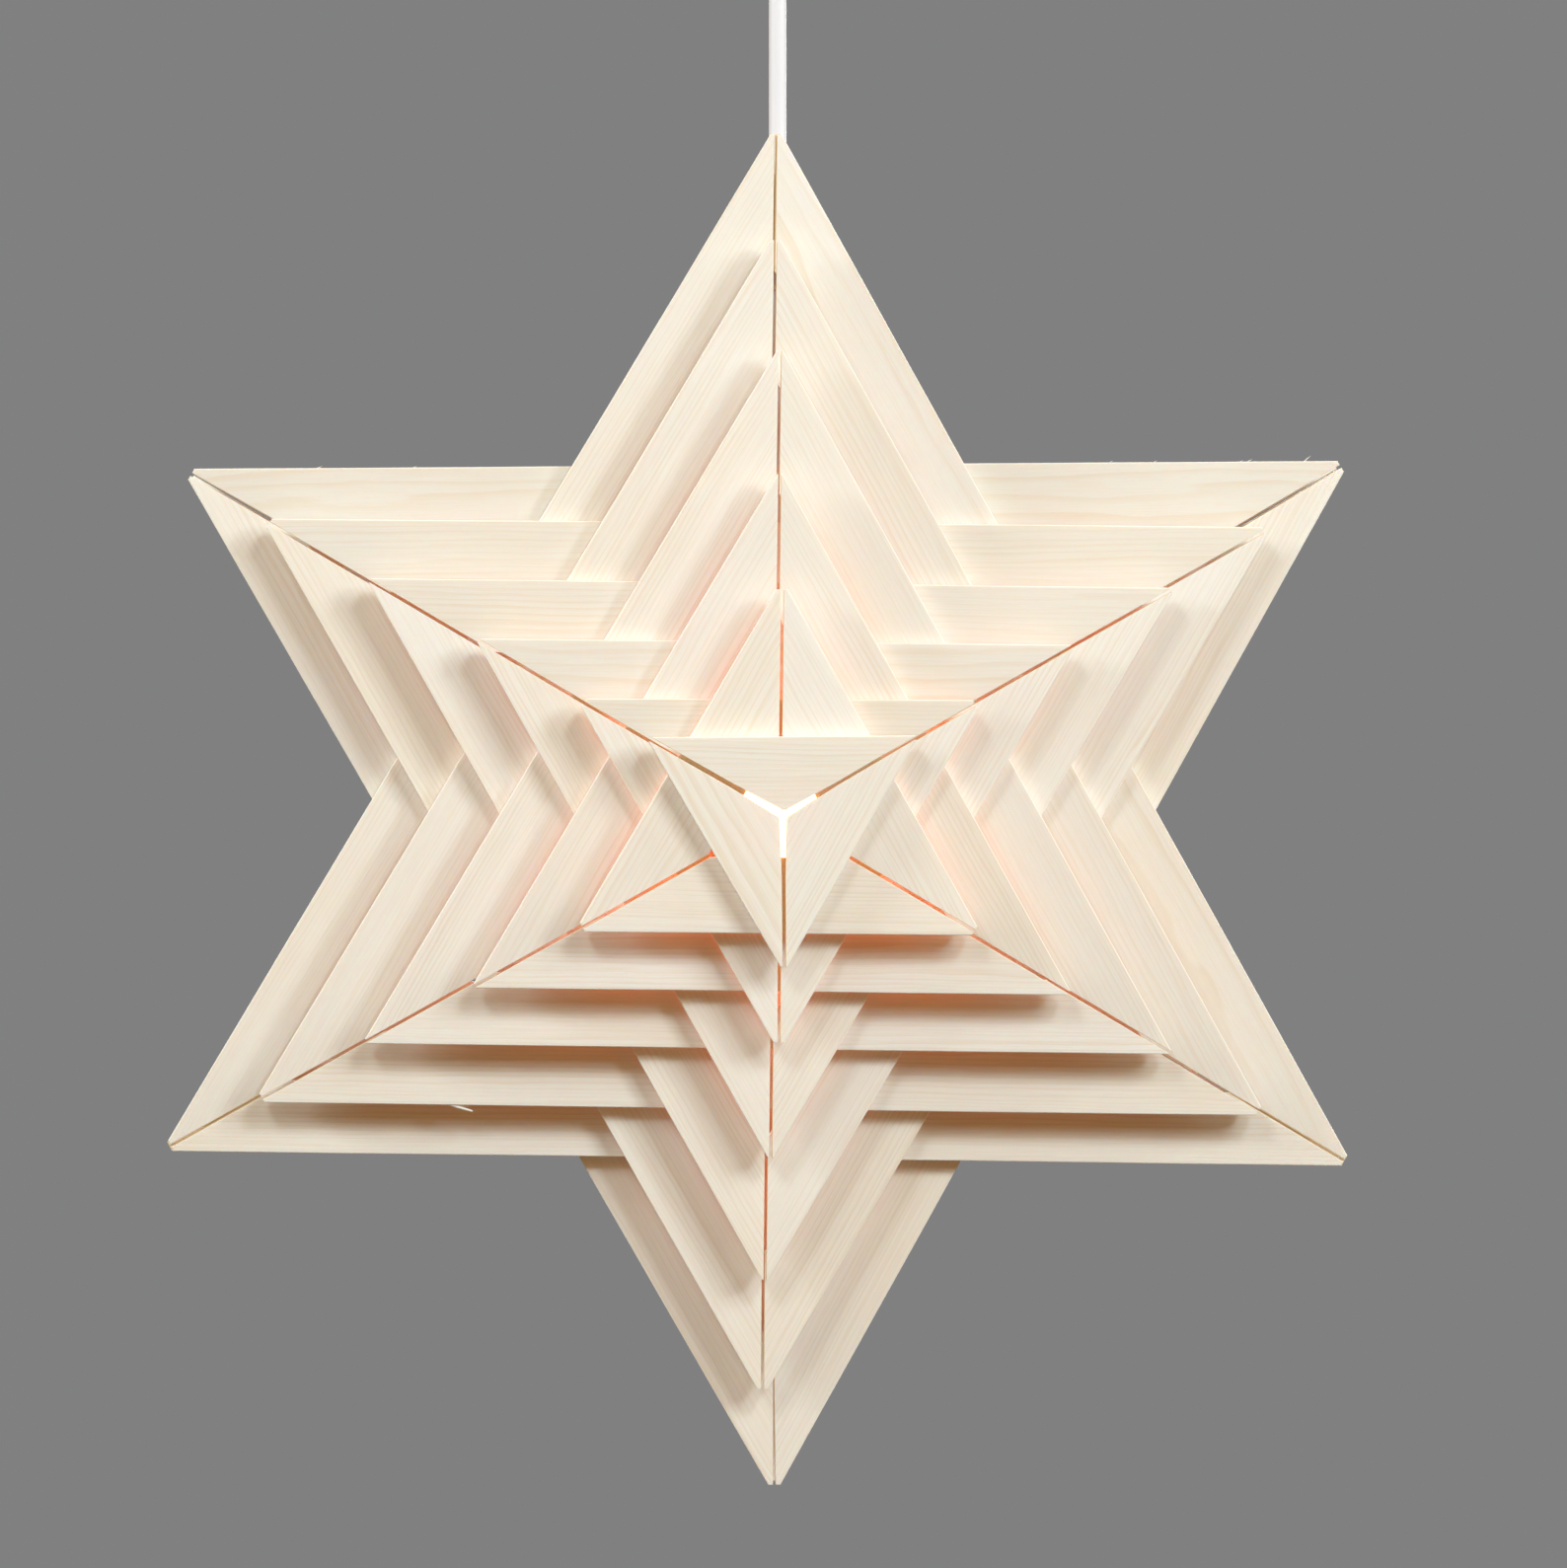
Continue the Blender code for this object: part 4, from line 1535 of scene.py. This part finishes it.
@dataclass
class Bulb:
    """A round opal bulb with a screw cap. Heights are from the middle of its globe."""

    radius: float = 22.5 * MM
    neck: float = 6.7 * MM
    neck_top: float = 28.9 * MM
    throat_from: float = 58.0
    throat_pull: float = 0.45
    throat_steps: int = 12
    cap_low: float = 29.283 * MM
    cap_high: float = 46.283 * MM
    cap_radius: float = 6.9 * MM
    cap_taper: float = 2.2 * MM
    cap_lead: float = 1.6 * MM
    tip_radius: float = 4 * MM
    tip_top: float = 48.783 * MM
    thread: Thread = Thread(2.82 * MM, 0.75 * MM)

    def build(self, bench: Bench) -> None:
        """Blows the glass and rolls the cap.

        Args:
            bench: where the pieces go.
        """
        matrix = Matrix.Translation((0, 0, STAR_Z))
        globe = lathe("bulb_globe", self.globe_line(), 72)
        bench.add("bulb_globe", globe, Body.BULB, Slot.OPAL, ["bulb_glass"], matrix)
        low, taper_low = self.cap_low, self.cap_high - self.cap_taper
        thread = self.thread.swell(low + self.cap_lead, taper_low, self.cap_radius * 0.9)
        tip, high, top = self.tip_radius, self.cap_high, self.tip_top
        skirt = [(0.0, low), (self.cap_radius, low), (self.cap_radius, taper_low), (tip + 0.9 * MM, high),
                 (tip - 0.2 * MM, high + 0.2 * MM), (tip - 0.4 * MM, top - 0.9 * MM), (tip - 1.6 * MM, top), (0.0, top)]
        cap = lathe("bulb_screw_cap", finely(softened(skirt, 0.35 * MM), 0.32 * MM), 64, thread)
        bench.add("bulb_screw_cap", cap, Body.BULB, Slot.NICKEL, ["bulb_cap"], matrix)

    def globe_line(self) -> list[Point2]:
        """From under the globe up into the neck, with an even throat between them.

        Returns:
            The line.
        """
        start = math.radians(self.throat_from)
        globe = arc((0, 0), (self.radius, self.radius), -90, self.throat_from, 40)
        globe[0] = (0.0, -self.radius)
        last, end = Vector(globe[-1]), Vector((self.neck, self.neck_top))
        pull = (end - last).length * self.throat_pull
        one = last + Vector((-math.sin(start), math.cos(start))) * pull
        two = end - Vector((0, pull))
        throat = []
        for step in range(1, self.throat_steps + 1):
            s = step / self.throat_steps
            point = last * (1 - s) ** 3 + one * (3 * s * (1 - s) ** 2) + two * (3 * s * s * (1 - s)) + end * s**3
            throat.append((point.x, point.y))
        return [*globe, *throat, (0.0, self.neck_top)]


@dataclass
class LampHolder:
    """The holder on the cord's end. Heights are from the middle of the bulb's globe."""

    radius: float = 13.5 * MM
    low: float = 31.083 * MM
    floor_low: float = 52.383 * MM
    floor_high: float = 56.383 * MM
    high: float = 70.383 * MM
    wall: float = 2 * MM
    mouth: float = 7.65 * MM
    mouth_height: float = 1.7 * MM
    bore: float = 8.4 * MM
    bevel: float = 1.2 * MM
    band: float = 5 * MM
    groove: float = 0.7 * MM
    grip: Ribs = Ribs(36, 0.55 * MM, 1.2 * MM)
    sleeve: float = 8.1 * MM
    sleeve_wall: float = 0.9 * MM
    sleeve_low: float = 33.083 * MM
    sleeve_high: float = 52.083 * MM
    thread: Thread = Thread(2.82 * MM, 0.55 * MM)
    contact_low: float = 49.083 * MM
    contact_height: float = 3 * MM
    contact_radius: float = 3.4 * MM
    dome_low: float = 70.683 * MM
    dome_high: float = 83.683 * MM
    nose: float = 5 * MM
    cord_hole: float = 3.3 * MM
    socket: float = 5 * MM
    spigot: float = 6 * MM
    spigot_gap: float = 0.3 * MM

    def build(self, bench: Bench) -> None:
        """Makes the shell, the dome and the metal inside.

        Args:
            bench: where the pieces go.
        """
        self.build_shell(bench)
        self.build_dome(bench)
        self.build_contacts(bench)

    def build_shell(self, bench: Bench) -> None:
        """The ribbed skirt, with a groove and a plain band at its top.

        Args:
            bench: where the piece goes.
        """
        radius, low, inside = self.radius, self.low, self.radius - self.wall
        band, waist, lip = self.high - self.band, radius - self.groove, low + self.mouth_height
        line = [(0.0, self.floor_high), (inside, self.floor_high), (inside, self.high), (radius, self.high),
                (radius, band), (waist, band - 0.3 * MM), (waist, band - 1.1 * MM), (radius, band - 1.4 * MM),
                (radius, low + self.bevel), (radius - self.bevel, low), (self.mouth, low), (self.mouth, lip),
                (self.bore, lip), (self.bore, self.floor_low), (0.0, self.floor_low)]
        ribs = self.grip.swell(low + 2.6 * MM, band - 2.4 * MM, radius * 0.97)
        mesh = lathe("lampholder_skirt", finely(softened(line, 0.5 * MM), 1.0 * MM), 216, ribs)
        bench.add_in_star(mesh, Slot.PLASTIC, "lampholder_shell")

    def build_dome(self, bench: Bench) -> None:
        """The dome, with its cord nose and the spigot that goes into the shell.

        Args:
            bench: where the piece goes.
        """
        low, high = self.dome_low, self.dome_high
        outside = self.radius - self.wall - self.spigot_gap
        inside = outside - self.wall
        curve = arc((self.nose, low + 1.2 * MM), (self.radius - self.nose, high - low - 3.2 * MM), 0, 82, 14)
        line = [(0.0, low), (inside, low), (inside, low - self.spigot), (outside, low - self.spigot), (outside, low),
                (self.radius, low), *curve, (self.nose, high - 1.6 * MM), (self.nose, high), (self.cord_hole, high),
                (self.cord_hole, high - self.socket), (0.0, high - self.socket)]
        mesh = lathe("lampholder_cap", finely(softened(line, 0.45 * MM), 1.2 * MM), 96)
        bench.add_in_star(mesh, Slot.PLASTIC, "lampholder_dome")

    def build_contacts(self, bench: Bench) -> None:
        """The threaded sleeve and the sprung centre contact.

        Args:
            bench: where the pieces go.
        """
        low, high = self.sleeve_low, self.sleeve_high
        inner = self.sleeve - self.sleeve_wall + self.thread.depth
        thread = self.thread.swell(low + 1 * MM, high - 1.5 * MM)

        def rolled(angle: float, radius: float, height: float) -> float:
            """The thread rolled into both faces of the thin sleeve."""
            return thread(angle, radius, height) * (1.0 if radius < self.sleeve - 0.1 * MM else 0.5)

        line = [(inner, high), (self.sleeve, high), (self.sleeve, low), (inner, low)]
        section = finely([*line, line[0]], 0.35 * MM)[:-1]
        bench.add_in_star(lathe("holder_thread", section, 64, rolled, ring=True), Slot.BRASS, "lampholder_sleeve")
        low, top, radius = self.contact_low, self.contact_low + self.contact_height, self.contact_radius
        button = softened([(0.0, low), (1.2 * MM, low), (1.9 * MM, low + 0.7 * MM), (2.2 * MM, low + 1.4 * MM),
                           (radius, low + 1.6 * MM), (radius, top), (0.0, top)], 0.3 * MM)
        bench.add_in_star(lathe("holder_contact", button, 48), Slot.BRASS, "lampholder_contact")


@dataclass
class CeilingFitting:
    """The cup on the ceiling, the plate that it hangs on and the nipple that grips the cord."""

    radius: float = 35 * MM
    height: float = 40 * MM
    rim: float = 5 * MM
    wall: float = 2 * MM
    floor: float = 13 * MM
    bead_groove: float = 0.5 * MM
    stem: float = 6.5 * MM
    gap: float = 0.3 * MM
    flange: float = 10 * MM
    flange_height: float = 3 * MM
    nose_length: float = 14 * MM
    nose: float = 8.5 * MM
    nose_band: float = 3 * MM
    mouth: float = 3.9 * MM
    mouth_depth: float = 3 * MM
    grip: Ribs = Ribs(30, 0.4 * MM, 1.0 * MM)

    def build(self, bench: Bench) -> bpy.types.Object:
        """Turns the cup and the nipple, and dresses the plate.

        Args:
            bench: where the pieces go.

        Returns:
            The nipple.
        """
        hole = self.stem + self.gap
        floor = [(hole, -self.height), (hole, self.wall - self.height)]
        line = [*self.side(0.0), *floor, *reversed(self.side(self.wall))]
        mesh = lathe("ceiling_rose", softened([*line, line[0]], 0.5 * MM)[:-1], 144, ring=True)
        bench.add("ceiling_rose", mesh, Body.CEILING, Slot.PLASTIC, ["ceiling_cup"])
        bench.dress_node("ceiling_plate", Slot.STEEL)
        return self.build_grip(bench)

    def side(self, inset: float) -> list[Point2]:
        """From the ceiling down the cup's side: a straight rim with a bead line, then a bell.

        Args:
            inset: how far inside the outer face.

        Returns:
            The line.
        """
        top, low = self.radius - inset, self.floor - inset
        bell = arc((low, -self.rim), (top - low, self.height - inset - self.rim), 0, -90, 24)
        groove = top - self.bead_groove
        bead = [(top, -self.rim * 0.62), (groove, -self.rim * 0.72), (groove, -self.rim * 0.88)]
        return [(top, 0.0), *([] if inset else bead), *bell]

    def build_grip(self, bench: Bench) -> bpy.types.Object:
        """The nipple that turns in the cup's floor, ribbed for the fingers, with a flared mouth.

        Args:
            bench: where the piece goes.

        Returns:
            The nipple.
        """
        flange_low = self.wall - self.height + self.gap
        flange_top = flange_low + self.flange_height
        nose_top, nose_low = -self.height - self.gap, -(self.height + self.nose_length)
        mouth, throat = self.mouth, nose_low + self.mouth_depth
        line = [(0.0, flange_top), (self.flange, flange_top), (self.flange, flange_low), (self.stem, flange_low),
                (self.stem, nose_top), (self.nose, nose_top), (self.nose, nose_top - self.nose_band),
                (mouth + 2.1 * MM, nose_low), (mouth + 0.7 * MM, nose_low), (mouth, throat), (0.0, throat)]
        ribs = self.grip.swell(nose_low + 2.5 * MM, nose_top - 3.4 * MM, mouth + 1.5 * MM)
        mesh = lathe("cord_nipple", finely(softened(line, 0.4 * MM), 0.7 * MM), 180, ribs)
        return bench.add("cord_nipple", mesh, Body.GRIP, Slot.PLASTIC, ["cord_grip"])


def set_out(obj: bpy.types.Object, aim: Sequence[float], azimuth: float, elevation: float, distance: float) -> None:
    """Puts a lamp or a camera in the scene, turned to what it is aimed at.

    Args:
        obj: the lamp or camera.
        aim: where it looks.
        azimuth: degrees to the star's +X side of straight in front.
        elevation: degrees above the horizon.
        distance: how far from the aim it stands.
    """
    a, e = math.radians(azimuth), math.radians(elevation)
    back = Vector((math.sin(a) * math.cos(e), -math.cos(a) * math.cos(e), math.sin(e)))
    bpy.context.scene.collection.objects.link(obj)
    obj.location = Vector(aim) + back * distance
    obj.rotation_mode = "QUATERNION"
    obj.rotation_quaternion = (-back).to_track_quat("-Z", "Y")


@dataclass
class SoftBox:
    """One soft box, aimed at the star's centre."""

    name: str
    azimuth: float
    elevation: float
    power: float
    side: float = 0.45
    distance: float = 2.4
    colour: Colour = (0.88, 0.97, 1.0)

    def build(self) -> None:
        """Hangs it and turns it to the star."""
        data = bpy.data.lights.new(self.name, "AREA")
        data.shape = "SQUARE"
        data.size = self.side
        data.energy = self.power
        data.color = self.colour
        lamp = bpy.data.objects.new(self.name, data)
        lamp.visible_camera = False
        set_out(lamp, (0, 0, STAR_Z), self.azimuth, self.elevation, self.distance)


@dataclass
class Studio:
    """Camera, soft boxes, grey surroundings and a pale floor.

    The surroundings and the floor show one colour and give light of another.
    """

    image: tuple[int, int] = (1588, 1589)
    focal: float = 7268.0
    distance: float = 2.4
    azimuth: float = -3.0
    elevation: float = 0.438
    aim: Point3 = (1.98 * MM, 0.0, -327.6 * MM)
    sensor: float = 36.0
    far: float = 50.0
    grey: Colour = (0.216, 0.216, 0.216)
    dusk: Colour = (0.28, 0.12, 0.0)
    floor_z: float = -2.4
    floor_radius: float = 5.0
    floor_solid: float = 0.45
    floor_clear: float = 0.98
    floor_pale: Colour = (0.68, 0.74, 0.82)
    floor_mottle: Colour = (0.61, 0.66, 0.73)
    floor_bounce: Colour = (0.28, 0.28, 0.28)
    boxes: Sequence[SoftBox] = (
        SoftBox("left_side_box", -75.0, 20.0, 31.7),
        SoftBox("left_soft_box", -50.0, 20.0, 3.8),
        SoftBox("top_left_box", -28.0, 37.0, 13.7),
        SoftBox("top_right_box", 28.0, 37.0, 18.1),
        SoftBox("right_soft_box", 50.0, 20.0, 17.3),
        SoftBox("right_high_box", 50.0, 32.0, 12.3),
        SoftBox("right_side_box", 75.0, 20.0, 11.1),
        SoftBox("back_soft_box", 165.0, 12.0, 40.0, side=1.40),
    )

    def build_camera(self) -> None:
        """A long lens at the photograph's place."""
        data = bpy.data.cameras.new("camera")
        data.sensor_width = self.sensor
        data.lens = self.focal * self.sensor / max(self.image)
        data.clip_end = self.far
        camera = bpy.data.objects.new("camera", data)
        set_out(camera, self.aim, self.azimuth, self.elevation, self.distance)
        bpy.context.scene.camera = camera

    def build(self) -> None:
        """Lights, surroundings and floor."""
        bpy.context.scene.view_settings.view_transform = "Standard"
        for box in self.boxes:
            box.build()
        world = bpy.data.worlds.new("grey_room")
        bpy.context.scene.world = world
        world.use_nodes = True
        sheet = NodeSheet(world.node_tree)
        room = sheet.mix(sheet.seen(), self.dusk, self.grey)
        sheet.feed(world.node_tree.nodes["Background"].inputs["Color"], room)
        self.build_floor()

    def build_floor(self) -> None:
        """A pale round floor that fades into the surroundings."""
        rings = 24
        line = [(self.floor_radius * step / rings, self.floor_z) for step in range(rings + 1)]
        floor = bpy.data.objects.new("floor", lathe("floor", line, 64))
        bpy.context.scene.collection.objects.link(floor)
        sheet = SurfaceSheet("pale_floor")
        place = sheet.place()
        out = sheet.length(sheet.scaled(place, (1.0, 1.0, 0.0)))
        stops = [(self.floor_solid, 0.0), (self.floor_clear, 1.0)]
        fade = sheet.ramp((out / self.floor_radius).limited(), stops, "EASE")
        pale = sheet.mix(sheet.noise(place, 6.0, 4.0) * 0.2, self.floor_pale, self.floor_mottle)
        sheet.set(Base_Color=sheet.mix(sheet.seen(), self.floor_bounce, pale), Roughness=0.8)
        solid = Term(sheet, sheet.shader.outputs[0])
        clear = sheet.make("ShaderNodeBsdfTransparent", {}, {})
        mixed = sheet.make("ShaderNodeMixShader", {}, {0: fade, 1: solid, 2: clear})
        sheet.feed(sheet.tree.nodes["Material Output"].inputs["Surface"], mixed)
        floor.data.materials.append(sheet.material)


OUTER_DOWN = StripSize(114.6 * MM, 3.6 * MM, painted_glow=0.15)
OUTER_UP = StripSize(114.6 * MM, 3.6 * MM, undercut=1.0 * MM, painted_glow=0.15)
SECOND = StripSize(96.9 * MM, 3 * MM)
THIRD = StripSize(77.3 * MM)
FOURTH = StripSize(57.1 * MM)
FIFTH = StripSize(38.5 * MM, 3 * MM, inward=0.9 * MM)
SMALLEST = StripSize(25.6 * MM, flare=1.4 * MM, painted_glow=0.12, age=0.25)
BACK_OUTER = StripSize(114.6 * MM, 3.6 * MM)
BACK_INNER = StripSize(87.5 * MM, 3 * MM)

FRONT_LAYERS = (
    Layer(Pointing.DOWN, OUTER_DOWN, -0.5, -3.5, 1.8),
    Layer(Pointing.UP, OUTER_UP, 0.9, -4.8, 0.1),
    Layer(Pointing.DOWN, SECOND, 0.4, -4.7, -0.1),
    Layer(Pointing.UP, SECOND, 0.9, -4.9, -0.6),
    Layer(Pointing.DOWN, THIRD, 0.6, -4.1, -0.7),
    Layer(Pointing.UP, THIRD, 0.9, -3.4, 0.2),
    Layer(Pointing.DOWN, FOURTH, 0.6, -3.2, 0.0),
    Layer(Pointing.UP, FOURTH, 0.8, -3.2, -0.7),
    Layer(Pointing.DOWN, FIFTH, 0.2, -1.9, -0.4),
    Layer(Pointing.UP, FIFTH, 0.6, -2.1, 0.0),
    Layer(Pointing.DOWN, SMALLEST, -0.4, -1.3, 0.3),
)
BACK_LAYERS = (
    Layer(Pointing.DOWN, BACK_OUTER, -0.4, -3.2, 1.7),
    Layer(Pointing.UP, BACK_OUTER, 0.9, -4.4, 0.1),
    Layer(Pointing.DOWN, BACK_INNER, 0.5, -4.3, -0.1),
    Layer(Pointing.UP, BACK_INNER, 0.8, -4.5, -0.5),
)
FIBRES = (
    EdgeFibre("04_bottom", 106 * MM, -10.2 * MM, 2.0 * MM, 1.15 * MM, 0.12),
    EdgeFibre("04_bottom", 103 * MM, -6.2 * MM, 0.6 * MM, 0.65 * MM),
    EdgeFibre("01_top", 179.8 * MM, 3.0 * MM, 1.8 * MM, 0.80 * MM),
    EdgeFibre("01_top", 160.8 * MM, 2.2 * MM, 0.8 * MM, 0.50 * MM),
    EdgeFibre("01_top", 158.2 * MM, 1.8 * MM, 0.5 * MM, 0.48 * MM),
    EdgeFibre("01_top", 129.4 * MM, 1.8 * MM, 0.7 * MM, 0.48 * MM),
    EdgeFibre("01_top", 114.6 * MM, 1.6 * MM, 0.6 * MM, 0.48 * MM),
    EdgeFibre("01_top", -150.0 * MM, 2.6 * MM, 0.6 * MM, 0.48 * MM),
    EdgeFibre("01_top", -118.0 * MM, 2.0 * MM, 0.4 * MM, 0.46 * MM),
)
OUTER_NUDGES = {
    "01_top": Nudge(trims=(4.6, 2.7)),
    "01_left": Nudge(0.57, 1.77, 0.89, (0.0, 2.3)),
    "01_right": Nudge(-0.33, -1.02, 0.52, (1.35, 0.0)),
}
FRONT_NUDGES = {
    **OUTER_NUDGES,
    "11_top": Nudge(right=0.42, up=0.14),
    "11_left": Nudge(right=-0.11),
    "11_right": Nudge(right=0.11),
}
FRONT_CUTS = {"01_top": Cut.FLAT, "01_left": Cut.RIFT, "03_top": Cut.RIFT, "11_top": Cut.QUARTER}
BACK_STRIPS = StripMaker(width=30 * MM, slit=0.3 * MM)
SEED = 20


def main() -> None:
    """Builds the lamp and its studio."""
    logging.basicConfig(level=logging.INFO, format="%(name)s: %(message)s")
    dice = random.Random(SEED)
    studio = Studio()
    studio.build_camera()
    bench = Bench(Finishes())
    HangingCord().build(bench, CeilingFitting().build(bench))
    StripStack(Half.FRONT, FRONT_LAYERS, FRONT_NUDGES, cuts=FRONT_CUTS, fibres=FIBRES).build(bench, dice)
    StripStack(Half.BACK, BACK_LAYERS, OUTER_NUDGES, BACK_STRIPS).build(bench, dice)
    JoiningBlocks().build(bench, dice)
    Bulb().build(bench)
    LampHolder().build(bench)
    studio.build()


if __name__ == "__main__":
    main()
